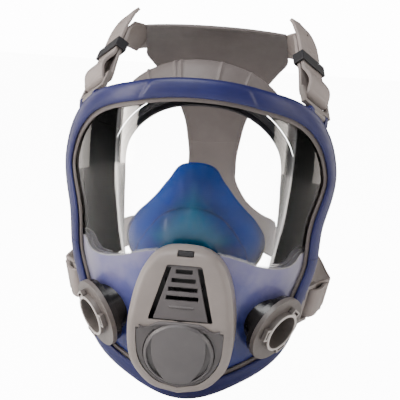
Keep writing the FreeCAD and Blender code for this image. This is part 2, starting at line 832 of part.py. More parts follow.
def buckle_shape(frame):
    """A strap buckle: a pin barrel, a neck, two rails and the bar that the strap goes round."""
    half = size("barrel_half")
    shape = rod_in(frame, 0, half, 3.1)
    shape = shape.fuse(slab(frame, (1.5, -half, -1.7), (7.5, half, 1.7)))
    shape = shape.fuse(slab(frame, (4.4, -15.2, -1.7), (7.5, 15.2, 1.7)))
    for low in (-15.2, 12.3):
        shape = shape.fuse(slab(frame, (4.4, low, -1.7), (size("bar_at"), low + 2.9, 1.7)))
    shape = shape.fuse(rod_in(frame, size("bar_at"), 15.2, 1.9))
    return shape.cut(rod_in(frame, 0, 20, size("pin_hole")))


def strip(stations):
    """A strap through stations of (middle, width way, normal)."""
    half = size("strap_wide") / 2
    thick = size("strap_thick") / 2
    sections = []
    for middle, wide, normal in stations:
        wide, normal = unit(wide) * half, unit(normal) * thick
        low, high = middle - normal, middle + normal
        sections.append([low - wide, low + wide, high + wide, high - wide])
    return band(sections, False)


def loop_path(offset):
    """Half of the folded strap's middle line, moved off by an offset, as (along strap, outward) points."""
    bend = size("fold_r") + offset
    path = [(36.0, 1.6 + offset), (31.0, 1.9 + offset), (26.0, 2.8 + offset), (20.5, size("fold_r") + offset)]
    for turn in (90, 115, 140, 160, 180):
        angle = math.radians(turn)
        path.append((size("bar_at") + bend * math.cos(angle), bend * math.sin(angle)))
    return path


def loop_shape(frame):
    """The strap's end, folded round the buckle's bar."""
    thick = size("strap_thick") / 2
    outer, inner = loop_path(thick), loop_path(-thick)
    outline = outer + [(u, -n) for u, n in outer[-2::-1]]
    outline += [(u, -n) for u, n in inner] + inner[-2::-1]
    half = size("strap_wide") / 2
    return polygon_prism([at(frame, u, -half, n) for u, n in outline], frame[2] * (2 * half))


def keeper_shape(frame):
    shape = slab(frame, (44, -13.5, -4.7), (53, 13.5, 4.7))
    return shape.cut(slab(frame, (40, -12.1, -3.5), (57, 12.1, 3.5)))


HEAD = Vector(0, 25, 49)
HEAD_DEEP = 82.0
HEAD_TALL = 102.0
SWEEP_Y = -222.0


def head_depth(z, inset=0.0):
    """The depth of the head's outline in side view at a height."""
    return HEAD.y + (HEAD_DEEP - inset) * math.sqrt(1 - ((z - HEAD.z) / (HEAD_TALL - inset)) ** 2)


def harness_point(x, z):
    """A point of the harness's outer face behind the head."""
    radius = head_depth(z) - SWEEP_Y
    return Vector(x, SWEEP_Y + math.sqrt(radius**2 - x**2), z)


def head_solid(inset):
    """The back of the head: its side outline swept about a far vertical line."""
    tall, deep = HEAD_TALL - inset, HEAD_DEEP - inset
    ellipse = Part.Ellipse(HEAD + Vector(0, 0, tall), HEAD + Vector(0, deep, 0), HEAD)
    arc = Part.Arc(ellipse, 0, math.pi).toShape()
    chord = Part.makeLine(HEAD - UP * tall, HEAD + UP * tall)
    face = Part.Face(Part.Wire([arc, chord]))
    centre = Vector(0, SWEEP_Y, 0)
    face.rotate(centre, UP, -25)
    return face.revolve(centre, UP, 50)


HARNESS_HALF = (
    (56, 165), (56, 116), (44, 109), (33, 93), (24.5, 71), (20, 45), (21, 24), (31, 9), (44, 0), (56, -5),
    (56, -31), (38, -30), (18, -22),
)


def harness_shape():
    outline = [Vector(x, 34, z) for x, z in mirrored_corners(HARNESS_HALF)]
    shell = head_solid(0).cut(head_solid(size("strap_thick")))
    return shell.common(polygon_prism(outline, Vector(0, 90, 0)))


def arm_end(height, lean):
    """The strap's last station, beside the harness's edge."""
    inner = harness_point(56.4, height)
    deep = inner.y - HEAD.y
    normal = unit(Vector(0, deep / HEAD_DEEP**2, (inner.z - HEAD.z) / HEAD_TALL**2))
    wide = normal.cross(ACROSS) * lean
    return inner - normal * (size("strap_thick") / 2), wide, normal


def upper_arm():
    frame = UPPER
    end = arm_end(137, 1)
    wide = frame[2] if frame[2].dot(end[1]) > 0 else frame[2] * -1
    stations = [(at(frame, u, 0, -1.6), wide, frame[3]) for u in (38, 44, 50, 56, 61)]
    stations.append(((stations[-1][0] + end[0]) * 0.5 + Vector(4, -3, 5), wide + end[1], frame[3] + end[2]))
    stations.append(end)
    return strip(stations)


def lower_arm():
    frame = LOWER
    end = arm_end(-18, 1)
    wide = frame[2] if frame[2].dot(end[1]) > 0 else frame[2] * -1
    stations = [(at(frame, u, 0, -1.5), wide, frame[3]) for u in (38, 44, 50)]
    middle = (stations[-1][0] + end[0]) * 0.5 + Vector(9, 8, 0)
    stations.append((middle, wide + end[1], frame[3] + end[2]))
    stations.append(end)
    return strip(stations)


def tail(frame, bend):
    """The strap's free end, outside its keeper."""
    stations = [(at(frame, u, 0, 1.6), frame[2], frame[3]) for u in (38, 46, 54, 61)]
    for u, w, n, curl in bend:
        stations.append((at(frame, u, w, n), frame[2], frame[3] - frame[1] * curl))
    return strip(stations)


# ---------------------------------------------------------------- the pieces

pieces = []


def keep(piece):
    pieces.append(piece)
    return piece


def pair(name, make):
    """A piece for the wearer's left and its mirror image for the right."""
    left = keep(make(name + "_left"))
    keep(mirrored(name + "_right", left))


keep(feature("lens", lens_shape()))
upper_ring = ring_half(SPLIT + 0.12, 180 - SPLIT - 0.12, (JOINT_GAP, 7.0))
lower_ring = ring_half(-180 - SPLIT + 0.12, SPLIT - 0.12, (-7.0, -JOINT_GAP))
for frame, which in ((UPPER, "upper"), (LOWER, "lower")):
    both = ears(frame)
    both = both.fuse(both.mirror(Vector(0, 0, 0), ACROSS))
    if which == "upper":
        upper_ring = upper_ring.fuse(both)
    else:
        lower_ring = lower_ring.fuse(both)
keep(feature("lens_ring_upper", upper_ring.Solids[0]))
keep(feature("lens_ring_lower", without_inlets(lower_ring).Solids[0]))
keep(feature("ring_screws", Part.makeCompound([screw_shape(1), screw_shape(-1)])))
keep(feature("ring_nuts", Part.makeCompound([nut_shape(1), nut_shape(-1)])))

keep(feature("facepiece", without_inlets(band(round_sections(skirt_section), True)).Solids[0]))
keep(feature("face_seal", band(round_sections(seal_section), True)))

cup = band(round_sections(cup_section), True)
CHECK_POINT, CHECK_OUT = wall_frame(cup, CHECK - CHECK_WAY * 30, CHECK_WAY)
CHECK_BASE = CHECK_POINT - CHECK_OUT * 6.5
for side in (1, -1):
    way = Vector(CHECK_OUT.x * side, CHECK_OUT.y, CHECK_OUT.z)
    start = Vector(CHECK_BASE.x * side, CHECK_BASE.y, CHECK_BASE.z)
    cup = cup.cut(rod(start - way * 4, way, size("check_out") + 0.4, 20))
keep(feature("nose_cup", cup.Solids[0]))

check_place = aimed(CHECK_BASE, CHECK_OUT)
check_seat = turned(
    "check_seat",
    [("check_in", 3.0), ("check_out", 3.0), ("check_out", 8.2), ("check_rim", 8.2), ("check_rim", 9.6),
     ("check_in", 9.6)],
    check_place,
)
check_spider = placed(spider(2.6, 1.7, 6.4, 3.0, 4.2, 4), check_place)
pair("check_valve_seat", lambda name: fused(name, check_seat, check_spider))
pair(
    "check_valve_disc",
    lambda name: turned(
        name,
        [(0, 2.0), ("check_flap", 2.0), ("check_flap", 2.7), (1.3, 2.7), (1.3, 5.6),
         (2.2, 5.6), (2.2, 6.3), (0, 6.3)],
        check_place,
    ),
)

inlet_place = aimed(PORT - PORT_WAY * size("port_sink"), PORT_WAY)
tube = turned(
    "inlet_tube",
    [("tube_bore", 0), ("tube_out", 0), ("tube_out", "flange_low"), ("flange_r", "flange_low"),
     ("flange_r", "flange_high"), ("tube_out", "flange_high"), ("tube_out", "tube_long"),
     ("tube_bore", "tube_long"), ("tube_bore", "valve_room"), ("valve_room_r", "valve_room"),
     ("valve_room_r", "seat_high"), ("seat_bore", "seat_high"),
     ("seat_bore", "seat_low"), ("tube_bore", "seat_low")],
    inlet_place,
)
pair("inlet_connector", lambda name: fused(name, tube, inlet_extras(inlet_place)))
flange_back = size("flange_low") - size("port_sink")
gasket = rod(PORT + PORT_WAY * (flange_back - 4.5), PORT_WAY, size("gasket_r"), 4.4)
gasket = gasket.fuse(rod(PORT - PORT_WAY * 12, PORT_WAY, size("sleeve_r"), flange_back + 8))
gasket = gasket.cut(rod(PORT - PORT_WAY * 13, PORT_WAY, size("tube_out") + 0.3, 40)).cut(barrel_solid(-0.2))
pair("inlet_gasket", lambda name: feature(name, gasket.Solids[0]))
nut_place = aimed(PORT - PORT_WAY * 13.0, PORT_WAY)
nut_profile = [("nut_in", 0), ("nut_out", 0), ("nut_out", "nut_thick"), ("nut_in", "nut_thick")]
nut = turned("inlet_nut", nut_profile, nut_place)
pair("inlet_nut", lambda name: carved(name, nut, nut_notches(nut_place)))
pair(
    "inhalation_valve",
    lambda name: turned(
        name,
        [(0, 6.5), ("flap_r", 6.5), ("flap_r", 7.2), ("stem_r", 7.2), ("stem_r", 11.4), ("head_r", 11.4),
         ("head_r", 12.3), (0, 12.3)],
        inlet_place,
    ),
)

keep(feature("housing_body", housing_body_shape().Solids[0]))
keep(feature("housing_gasket", frame_layer(-1.5, -0.2).Solids[0]))
keep(feature("housing_retainer", frame_layer(2.5, 5.0).Solids[0]))
speech_place = aimed(Vector(0, -80.3, SPEECH.z), Vector(0, -1, 0))
film_profile = [(0, 0), ("speech_r", 0), ("speech_r", 0.5), (9, 0.5), (8, 1.1), (0, 1.1)]
keep(turned("speech_diaphragm", film_profile, speech_place))
keep(turned(
    "diaphragm_ring",
    [("speech_ring_in", 0.8), ("speech_r", 0.8), ("speech_r", 4.0), ("speech_ring_in", 4.0)],
    speech_place,
))
out_place = aimed(OUT + OUT_WAY * 3, OUT_WAY)
out_tube = turned(
    "exhaust_tube",
    [("out_bore", 0), ("out_wall", 0), ("out_wall", "out_long"), ("out_bore", "out_long"), ("out_bore", 7),
     ("out_seat", 7), ("out_seat", 5), ("out_bore", 5)],
    out_place,
)
keep(fused("exhalation_seat", out_tube, placed(spider(3.4, 1.9, 14.2, 5, 7, 4), out_place)))
keep(turned(
    "exhalation_valve",
    [(0, 1.5), (2.8, 1.5), (2.8, 2.4), ("stem_r", 2.4), ("stem_r", 7.3), ("out_flap", 7.3), ("out_flap", 8.1),
     (0, 8.1)],
    out_place,
))
cap_place = aimed(OUT + OUT_WAY * 14, OUT_WAY)
cap_body = turned(
    "exhaust_cap_body",
    [("cap_skirt_in", 0), ("cap_skirt", 0), ("cap_skirt", 10), ("cap_r", 10), ("cap_r", 12.8), (22.6, 14.4),
     (12, 15.6), (0, "cap_high"), (0, 11.0), ("cap_skirt_in", 11.0)],
    cap_place,
)
keep(carved("exhaust_cap", cap_body, cap_pockets(cap_place)))
keep(feature("housing_cover", cover_shape().Solids[0]))
keep(feature("front_grille", grille_shape().Solids[0]))
keep(feature("cover_latch", latch_shape()))
keep(feature("exhaust_shield", shield_shape().Solids[0]))

pair("upper_buckle", lambda name: feature(name, buckle_shape(UPPER)))
pair("lower_buckle", lambda name: feature(name, buckle_shape(LOWER)))
pins = [rod_in(frame, 0, 9.4, size("pin_r")) for frame in (UPPER, LOWER)]
pins += [pin.mirror(Vector(0, 0, 0), ACROSS) for pin in pins]
keep(feature("buckle_pins", Part.makeCompound(pins)))
pair("upper_strap_loop", lambda name: feature(name, loop_shape(UPPER)))
pair("lower_strap_loop", lambda name: feature(name, loop_shape(LOWER)))
pair("strap_keeper", lambda name: feature(name, keeper_shape(UPPER)))
keep(feature("harness_back", harness_shape().Solids[0]))
pair("upper_strap", lambda name: feature(name, upper_arm()))
pair("lower_strap", lambda name: feature(name, lower_arm()))
tail_bend = ((70, 3, 1.8, 0.1), (80, 7, 0.4, 0.25), (88, 10, -2.0, 0.4))
pair("upper_strap_tail", lambda name: feature(name, tail(UPPER, tail_bend)))

doc.recompute()
for item in doc.Objects:
    if "Invalid" in item.State or "Error" in item.State:
        raise RuntimeError("%s did not build: %s" % (item.Label, item.State))
os.makedirs("parts", exist_ok=True)
for piece in pieces:
    if piece.Shape.isNull() or not piece.Shape.isValid() or not piece.Shape.Solids:
        raise RuntimeError("%s is not a sound solid" % piece.Label)
    piece.Shape.exportStep("parts/%s.step" % piece.Label)
print("%d pieces written" % len(pieces))
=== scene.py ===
import json
import math
from functools import partial

import bmesh
import bpy
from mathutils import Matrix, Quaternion, Vector


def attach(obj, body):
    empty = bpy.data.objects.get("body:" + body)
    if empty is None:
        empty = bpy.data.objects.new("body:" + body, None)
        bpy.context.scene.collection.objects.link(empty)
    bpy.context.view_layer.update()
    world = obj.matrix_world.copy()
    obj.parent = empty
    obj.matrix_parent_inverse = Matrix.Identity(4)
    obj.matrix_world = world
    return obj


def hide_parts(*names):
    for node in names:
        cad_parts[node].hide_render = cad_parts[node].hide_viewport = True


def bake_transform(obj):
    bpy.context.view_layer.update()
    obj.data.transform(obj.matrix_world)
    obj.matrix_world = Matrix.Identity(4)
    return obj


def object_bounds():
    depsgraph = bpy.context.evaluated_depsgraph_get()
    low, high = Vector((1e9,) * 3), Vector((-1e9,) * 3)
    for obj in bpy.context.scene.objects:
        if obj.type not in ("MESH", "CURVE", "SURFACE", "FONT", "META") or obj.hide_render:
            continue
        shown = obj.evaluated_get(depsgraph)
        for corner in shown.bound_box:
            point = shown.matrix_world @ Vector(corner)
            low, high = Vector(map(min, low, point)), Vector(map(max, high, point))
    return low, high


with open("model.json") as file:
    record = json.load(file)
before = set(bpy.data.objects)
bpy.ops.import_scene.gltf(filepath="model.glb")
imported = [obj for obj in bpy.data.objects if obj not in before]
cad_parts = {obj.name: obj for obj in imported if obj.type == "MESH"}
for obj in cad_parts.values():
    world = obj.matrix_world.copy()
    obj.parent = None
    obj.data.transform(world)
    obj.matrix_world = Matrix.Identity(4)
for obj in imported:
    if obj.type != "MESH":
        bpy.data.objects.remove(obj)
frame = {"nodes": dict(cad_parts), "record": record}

CAD_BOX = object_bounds()
MM = 0.001
SIDES = (("left", 1), ("right", -1))

# ---- the lens's barrel, as in the CAD (mm)

BARREL_Y = 15.0  # the depth of the barrel's axis
BARREL_R = 102.0  # its radius where it is widest
BARREL_Z = 60.0  # the height where it is widest
BARREL_RV = 420.0  # the radius of its upright curve
EDGE = (
    (90, 110), (70, 112.5), (50, 118.5), (30, 107), (10, 87.5), (-10, 85), (-30, 87), (-50, 101),
    (-70, 104.5), (-90, 110),
)
SPLIT_Z = -8.0
PORT_X, PORT_Z = 57.0, -54.0
PORT_WAY = Vector((0.77, -0.52, -0.37)).normalized()
OUT_WAY = Vector((0, -0.951, -0.309)).normalized()
OUT = Vector((0, -75.5, -61.7))


def barrel_radius(height, inset=0.0):
    drop = BARREL_RV - math.sqrt(BARREL_RV**2 - (height - BARREL_Z) ** 2)
    return BARREL_R - drop - inset


def on_lens(x, z, inset=0.0):
    radius = barrel_radius(z, inset)
    return Vector((x, BARREL_Y - math.sqrt(radius**2 - x**2), z))


def lens_normal(point):
    rise = point.z - BARREL_Z
    slope = rise / math.sqrt(BARREL_RV**2 - rise**2)
    radial = Vector((point.x, point.y - BARREL_Y, 0)).normalized()
    return (radial + Vector((0, 0, slope))).normalized()


def smooth(stops, angle):
    """A value that runs smoothly through (angle, value) stops from 90 down to -90 degrees."""
    angle = (angle + 90) % 360 - 90
    if angle > 90:
        angle = 180 - angle
    slopes = [0.0]
    for before, after in zip(stops, stops[2:]):
        slopes.append((after[1] - before[1]) / (after[0] - before[0]))
    slopes.append(0.0)
    for i in range(len(stops) - 1):
        (a0, v0), (a1, v1) = stops[i], stops[i + 1]
        if a1 <= angle <= a0:
            span = a1 - a0
            k = (angle - a0) / span
            value = (2 * k**3 - 3 * k**2 + 1) * v0 + (3 * k**2 - 2 * k**3) * v1
            return value + (k**3 - 2 * k**2 + k) * span * slopes[i] + (k**3 - k**2) * span * slopes[i + 1]
    return stops[-1][1]


def polar(radius, angle):
    turn = math.radians(angle)
    return radius * math.cos(turn), radius * math.sin(turn)


def edge_point(angle):
    x, z = polar(smooth(EDGE, angle), angle)
    return on_lens(x, z)


def edge_frame(angle):
    """The lens edge at an angle: its point, the way out of the lens, the way off its edge and along it."""
    point = edge_point(angle)
    along = (edge_point(angle + 0.5) - edge_point(angle - 0.5)).normalized()
    out = lens_normal(point)
    off = out.cross(along).normalized()
    if off.dot(Vector((point.x, 0, point.z))) < 0:
        off.negate()
    return point, out, off, along


def beside_edge(angle, off_by, out_by):
    point, out, off, _ = edge_frame(angle)
    return point + off * off_by + out * out_by


# ---- mesh helpers


def mesh_object(name, verts, faces, material, sharp=35):
    """A mesh piece from points in millimetres."""
    mesh = bpy.data.meshes.new(name)
    mesh.from_pydata([tuple(v * MM) for v in verts], [], faces)
    tidy = bmesh.new()
    tidy.from_mesh(mesh)
    bmesh.ops.remove_doubles(tidy, verts=tidy.verts, dist=1e-6)
    bmesh.ops.recalc_face_normals(tidy, faces=tidy.faces)
    tidy.to_mesh(mesh)
    tidy.free()
    mesh.shade_smooth()
    mesh.set_sharp_from_angle(angle=math.radians(sharp))
    mesh.materials.append(material)
    piece = bpy.data.objects.new(name, mesh)
    bpy.context.scene.collection.objects.link(piece)
    return piece


def rounded(corners, radius, steps=4):
    """A closed profile with its corners rounded."""
    result = []
    count = len(corners)
    for i in range(count):
        before, here, after = (Vector(corners[j % count]) for j in (i - 1, i, i + 1))
        reach = min(radius, (before - here).length * 0.48, (after - here).length * 0.48)
        start = here + (before - here).normalized() * reach
        end = here + (after - here).normalized() * reach
        for k in range(steps + 1):
            t = k / steps
            result.append(start.lerp(here, t).lerp(here.lerp(end, t), t))
    return result


def band(sections, closed):
    """Points and faces of a solid through cross-sections with the same number of corners."""
    corners = len(sections[0])
    count = len(sections)
    verts = [point for section in sections for point in section]
    faces = []
    for i in range(count if closed else count - 1):
        a, b = i * corners, (i + 1) % count * corners
        for j in range(corners):
            k = (j + 1) % corners
            faces.append((a + j, a + k, b + k, b + j))
    if not closed:
        faces.append(tuple(range(corners)))
        faces.append(tuple(range((count - 1) * corners, count * corners)))
    return verts, faces


def around(count, first=-90.0):
    return [first + 360.0 * i / count for i in range(count)]


# ---- materials


def link(material, source, target):
    material.node_tree.links.new(source, target)


def node(material, kind, **values):
    made = material.node_tree.nodes.new(kind)
    for key, value in values.items():
        setattr(made, key, value)
    return made


def noise(material, scale, detail=4.0, rough=0.6):
    place = node(material, "ShaderNodeTexCoord")
    spots = node(material, "ShaderNodeTexNoise")
    spots.inputs["Scale"].default_value = scale
    spots.inputs["Detail"].default_value = detail
    spots.inputs["Roughness"].default_value = rough
    link(material, place.outputs["Object"], spots.inputs["Vector"])
    return spots.outputs["Fac"]


def ramp(material, source, stops):
    """A colour ramp from a value, with (place, colour) stops."""
    made = node(material, "ShaderNodeValToRGB")
    band_of = made.color_ramp
    while len(band_of.elements) < len(stops):
        band_of.elements.new(0.5)
    for element, (where, colour) in zip(band_of.elements, stops):
        element.position = where
        element.color = (*colour, 1)
    link(material, source, made.inputs["Fac"])
    return made.outputs["Color"]


def moulded(name, dark, light, rough, grain=900.0, bump=0.04, patch=28.0, **more):
    """Moulded plastic or rubber: a cloudy colour, uneven gloss and a fine grain."""
    material = bpy.data.materials.new(name)
    material.use_nodes = True
    shader = material.node_tree.nodes["Principled BSDF"]
    cloud = noise(material, patch)
    link(material, ramp(material, cloud, ((0.30, dark), (0.72, light))), shader.inputs["Base Color"])
    low, high = rough
    gloss = ramp(material, noise(material, patch * 6), ((0.25, (low,) * 3), (0.8, (high,) * 3)))
    link(material, gloss, shader.inputs["Roughness"])
    relief = node(material, "ShaderNodeBump")
    relief.inputs["Strength"].default_value = bump
    relief.inputs["Distance"].default_value = 0.0006
    link(material, noise(material, grain, 2.0), relief.inputs["Height"])
    link(material, relief.outputs["Normal"], shader.inputs["Normal"])
    for key, value in more.items():
        shader.inputs[key.replace("_", " ")].default_value = value
    return material


def math_node(material, operation, first, second=None, third=None):
    made = node(material, "ShaderNodeMath", operation=operation)
    for place, value in enumerate((first, second, third)):
        if isinstance(value, (int, float)):
            made.inputs[place].default_value = value
        elif value is not None:
            link(material, value, made.inputs[place])
    return made.outputs[0]


def object_axes(material):
    """The X, Y and Z of a place on the object, in metres."""
    place = node(material, "ShaderNodeTexCoord")
    split = node(material, "ShaderNodeSeparateXYZ")
    link(material, place.outputs["Object"], split.inputs[0])
    return split.outputs


def mix_colour(material, factor, first, second):
    """A mix of two colours, each a socket or a plain colour."""
    made = node(material, "ShaderNodeMix", data_type="RGBA")
    link(material, factor, made.inputs[0])
    for place, colour in ((6, first), (7, second)):
        if isinstance(colour, tuple):
            made.inputs[place].default_value = (*colour, 1)
        else:
            link(material, colour, made.inputs[place])
    return made.outputs[2]


def soft_step(material, value, low, high):
    made = node(material, "ShaderNodeMapRange", interpolation_type="SMOOTHSTEP")
    made.inputs["From Min"].default_value = low
    made.inputs["From Max"].default_value = high
    link(material, value, made.inputs["Value"])
    return made.outputs["Result"]


VISOR_LINE = (
    (0.0, -0.002), (0.22, -0.003), (0.36, -0.0065), (0.52, -0.0118), (0.66, -0.0135),
    (0.73, -0.0105), (0.80, -0.003),
)
VISOR_SPAN = 0.1
LINE_DEPTH = 0.02
HAZE_START = 0.0015
BEAD_HALF = 0.0009
# Below the visor's line, painted shade darkens the milky colour further down, and painted light makes it
# paler towards the sides.
SHADE_DEPTH = 0.055
LIGHT_SIDE_FROM, LIGHT_SIDE_TO = 0.060, 0.078
MILKY_WITH_SHADE = ((0.0, (0.190, 0.182, 0.32)), (0.35, (0.110, 0.115, 0.29)), (1.0, (0.030, 0.040, 0.17)))
MILKY_SIDE_LIGHT = (0.25, 0.24, 0.31)
CLEAR_TINT = (0.97, 0.965, 0.96)
CLEAR_IOR = 1.50
CLEAR_ALPHA = (1.30, -0.038)  # gain and offset on the Fresnel value
CLOUDY_ALPHA = (0.03, 0.945)  # gain and offset on the wiped pattern


def visor_line_height(material, across):
    """How far below the origin the line across the visor runs, by the distance from the middle."""
    made = node(material, "ShaderNodeFloatCurve")
    line = made.mapping.curves[0]
    line.points[0].location = (0.0, -VISOR_LINE[0][1] / LINE_DEPTH)
    line.points[1].location = (1.0, 0.1)
    for where, height in VISOR_LINE[1:]:
        line.points.new(where, -height / LINE_DEPTH)
    made.mapping.update()
    link(material, math_node(material, "DIVIDE", across, VISOR_SPAN), made.inputs["Value"])
    return math_node(material, "MULTIPLY", made.outputs["Value"], LINE_DEPTH)


def visor(name):
    """Clear polycarbonate that reflects at its surface, hazier below the moulded line across it. Below the
    line its milky colour has painted shade, darker further down and streaked, and painted light, paler
    towards the sides.
    """
    material = bpy.data.materials.new(name)
    material.use_nodes = True
    shader = material.node_tree.nodes["Principled BSDF"]
    axes = object_axes(material)
    across = math_node(material, "ABSOLUTE", axes["X"])
    below = math_node(material, "MULTIPLY", axes["Z"], -1.0)
    depth = math_node(material, "SUBTRACT", below, visor_line_height(material, across))
    haze = soft_step(material, depth, 0.0, HAZE_START)
    edge = math_node(material, "ABSOLUTE", depth)
    bead = math_node(material, "SUBTRACT", 1.0, soft_step(material, edge, 0.0, BEAD_HALF))
    # Painted shade: darker further below the line, with streaks. Painted light: paler towards the sides.
    shade_fade = soft_step(material, depth, 0.0, SHADE_DEPTH)
    shade_streak = math_node(material, "MULTIPLY_ADD", noise(material, 45.0, 3.0), 0.9, -0.45)
    shade = math_node(material, "ADD", shade_fade, shade_streak)
    to_light_side = soft_step(material, across, LIGHT_SIDE_FROM, LIGHT_SIDE_TO)
    milky_shade_and_light = mix_colour(material, to_light_side, ramp(material, shade, MILKY_WITH_SHADE), MILKY_SIDE_LIGHT)
    tint = mix_colour(material, haze, CLEAR_TINT, milky_shade_and_light)
    link(material, tint, shader.inputs["Base Color"])
    link(material, math_node(material, "SUBTRACT", 1.0, haze), shader.inputs["Metallic"])
    wipe = noise(material, 30.0, 5.0)
    rough = math_node(material, "MULTIPLY_ADD", wipe, 0.035, 0.012)
    link(material, math_node(material, "MULTIPLY_ADD", haze, 0.14, rough), shader.inputs["Roughness"])
    bend = node(material, "ShaderNodeFresnel")
    bend.inputs["IOR"].default_value = CLEAR_IOR
    clear = math_node(material, "MULTIPLY_ADD", bend.outputs[0], *CLEAR_ALPHA)
    cloudy = math_node(material, "MULTIPLY_ADD", wipe, *CLOUDY_ALPHA)
    alpha = node(material, "ShaderNodeMix", data_type="FLOAT")
    link(material, haze, alpha.inputs[0])
    link(material, clear, alpha.inputs[2])
    link(material, cloudy, alpha.inputs[3])
    with_bead = math_node(material, "MULTIPLY_ADD", bead, 0.16, alpha.outputs[0])
    link(material, with_bead, shader.inputs["Alpha"])
    relief = node(material, "ShaderNodeBump")
    relief.inputs["Strength"].default_value = 0.12
    relief.inputs["Distance"].default_value = 0.0005
    link(material, bead, relief.inputs["Height"])
    link(material, relief.outputs["Normal"], shader.inputs["Normal"])
    return material


# The teal middle of the nose cup is painted light, where light shines through the silicone.
LIT_TEAL = (0.0, 0.19, 0.40)
LIT_TEAL_HEIGHT = 0.004
LIT_TEAL_FROM, LIT_TEAL_TO = 0.010, 0.036


def cup_material():
    """Translucent silicone, deep blue, with a teal middle that is painted light shining through the
    silicone.
    """
    material = moulded(
        "cup_blue", (0.0, 0.030, 0.260), (0.0, 0.055, 0.360), (0.15, 0.25), bump=0.02,
        Specular_IOR_Level=0.32,
    )
    shader = material.node_tree.nodes["Principled BSDF"]
    blue = shader.inputs["Base Color"].links[0].from_socket
    axes = object_axes(material)
    side = math_node(material, "ABSOLUTE", axes["X"])
    off = math_node(material, "ABSOLUTE", math_node(material, "SUBTRACT", axes["Z"], LIT_TEAL_HEIGHT))
    reach = math_node(material, "MULTIPLY_ADD", off, 0.8, side)
    # Painted light: teal towards the cup's middle.
    middle = math_node(material, "SUBTRACT", 1.0, soft_step(material, reach, LIT_TEAL_FROM, LIT_TEAL_TO))
    link(material, mix_colour(material, middle, blue, LIT_TEAL), shader.inputs["Base Color"])
    return material


RING_BLUE = moulded(
    "ring_blue", (0.009, 0.011, 0.070), (0.014, 0.017, 0.100), (0.34, 0.48), bump=0.05,
    Specular_IOR_Level=0.4,
)
RUBBER = moulded(
    "rubber_grey", (0.112, 0.096, 0.094), (0.152, 0.132, 0.128), (0.48, 0.64), bump=0.16, grain=1400,
)
# The face seal's near-black is painted shade: it stands for the shade inside the facepiece.
SHADED_SEAL = moulded("rubber_dark", (0.014, 0.013, 0.018), (0.024, 0.022, 0.030), (0.36, 0.52), bump=0.02)
CUP = cup_material()
HOUSING = moulded(
    "housing_grey", (0.185, 0.162, 0.152), (0.225, 0.199, 0.188), (0.36, 0.48), bump=0.10, grain=1800,
)
INSERT = moulded(
    "insert_grey", (0.066, 0.060, 0.063), (0.084, 0.077, 0.080), (0.40, 0.52), bump=0.10, grain=1800,
)
CAP = moulded("cap_grey", (0.074, 0.069, 0.073), (0.094, 0.088, 0.092), (0.34, 0.46), bump=0.08, grain=1600)
DARK = moulded("dark_plastic", (0.012, 0.012, 0.015), (0.022, 0.022, 0.026), (0.3, 0.46), bump=0.06)
GASKET = moulded("gasket_black", (0.006, 0.006, 0.007), (0.012, 0.011, 0.013), (0.16, 0.30), bump=0.03)
VALVE = moulded("valve_rubber", (0.42, 0.40, 0.35), (0.50, 0.47, 0.42), (0.36, 0.52), Subsurface_Weight=0.3)
# The film's near-black is painted shade, so that the cover's slots look dark.
SHADED_FILM = moulded("film", (0.020, 0.019, 0.022), (0.034, 0.032, 0.036), (0.25, 0.4))
STEEL = moulded("steel", (0.42, 0.42, 0.43), (0.52, 0.52, 0.53), (0.24, 0.36), Metallic=1.0)
LENS = visor("lens_clear")

BY_SLOT = {
    "lens_clear": LENS, "ring_blue": RING_BLUE, "rubber_grey": RUBBER, "rubber_dark": SHADED_SEAL,
    "cup_blue": CUP, "housing_grey": HOUSING, "insert_grey": INSERT, "cap_grey": CAP,
    "dark_plastic": DARK, "valve_rubber": VALVE, "gasket_black": GASKET, "film": SHADED_FILM, "steel": STEEL,
}
for entry in frame["record"]["subparts"]:
    shown = frame["nodes"][entry["node"]]
    for place in shown.material_slots:
        place.material = BY_SLOT[entry["material_slot"]]

# ---- camera, floor and lights

EYE_TURN = 4.3
EYE_RISE = 10.0
EYE_FAR = 900.0
EYE_ROLL = 4.1
EYE_PIVOT = Vector((0, -30, 0))
EYE_TARGET = Vector((2.0, -30, 26.0))
LENS_MM = 112.05
FLOOR_GAP = 0.0008
FLOOR_REACH = 6000.0
SEEN_WHITE = 14.0
FLOOR_SHARE = 0.86
SKY_LIGHT = 0.18


def aim(thing, place, target, roll=0.0):
    thing.location = place
    look = (target - place).to_track_quat("-Z", "Y")
    thing.rotation_mode = "QUATERNION"
    thing.rotation_quaternion = look @ Quaternion((0, 0, 1), math.radians(roll))


turn, rise = math.radians(EYE_TURN), math.radians(EYE_RISE)
eye_way = Vector((math.sin(turn) * math.cos(rise), -math.cos(turn) * math.cos(rise), math.sin(rise)))
eye = EYE_PIVOT + eye_way * EYE_FAR
camera_data = bpy.data.cameras.new("camera")
camera_data.lens = LENS_MM
camera_data.sensor_width = 36.0
camera = bpy.data.objects.new("camera", camera_data)
bpy.context.scene.collection.objects.link(camera)
aim(camera, eye * MM, EYE_TARGET * MM, EYE_ROLL)
bpy.context.scene.camera = camera


def seen_bright(tree, lit, output, strength, shaded):
    """A white glow that only the camera sees, over the plain shader where it is shaded."""
    path = tree.nodes.new("ShaderNodeLightPath")
    glow = tree.nodes.new("ShaderNodeEmission")
    glow.inputs["Strength"].default_value = strength
    seen = glow.outputs[0]
    if shaded:
        both = tree.nodes.new("ShaderNodeAddShader")
        tree.links.new(lit, both.inputs[0])
        tree.links.new(seen, both.inputs[1])
        seen = both.outputs[0]
    mix = tree.nodes.new("ShaderNodeMixShader")
    tree.links.new(path.outputs["Is Camera Ray"], mix.inputs["Fac"])
    tree.links.new(lit, mix.inputs[1])
    tree.links.new(seen, mix.inputs[2])
    tree.links.new(mix.outputs[0], output.inputs["Surface"])


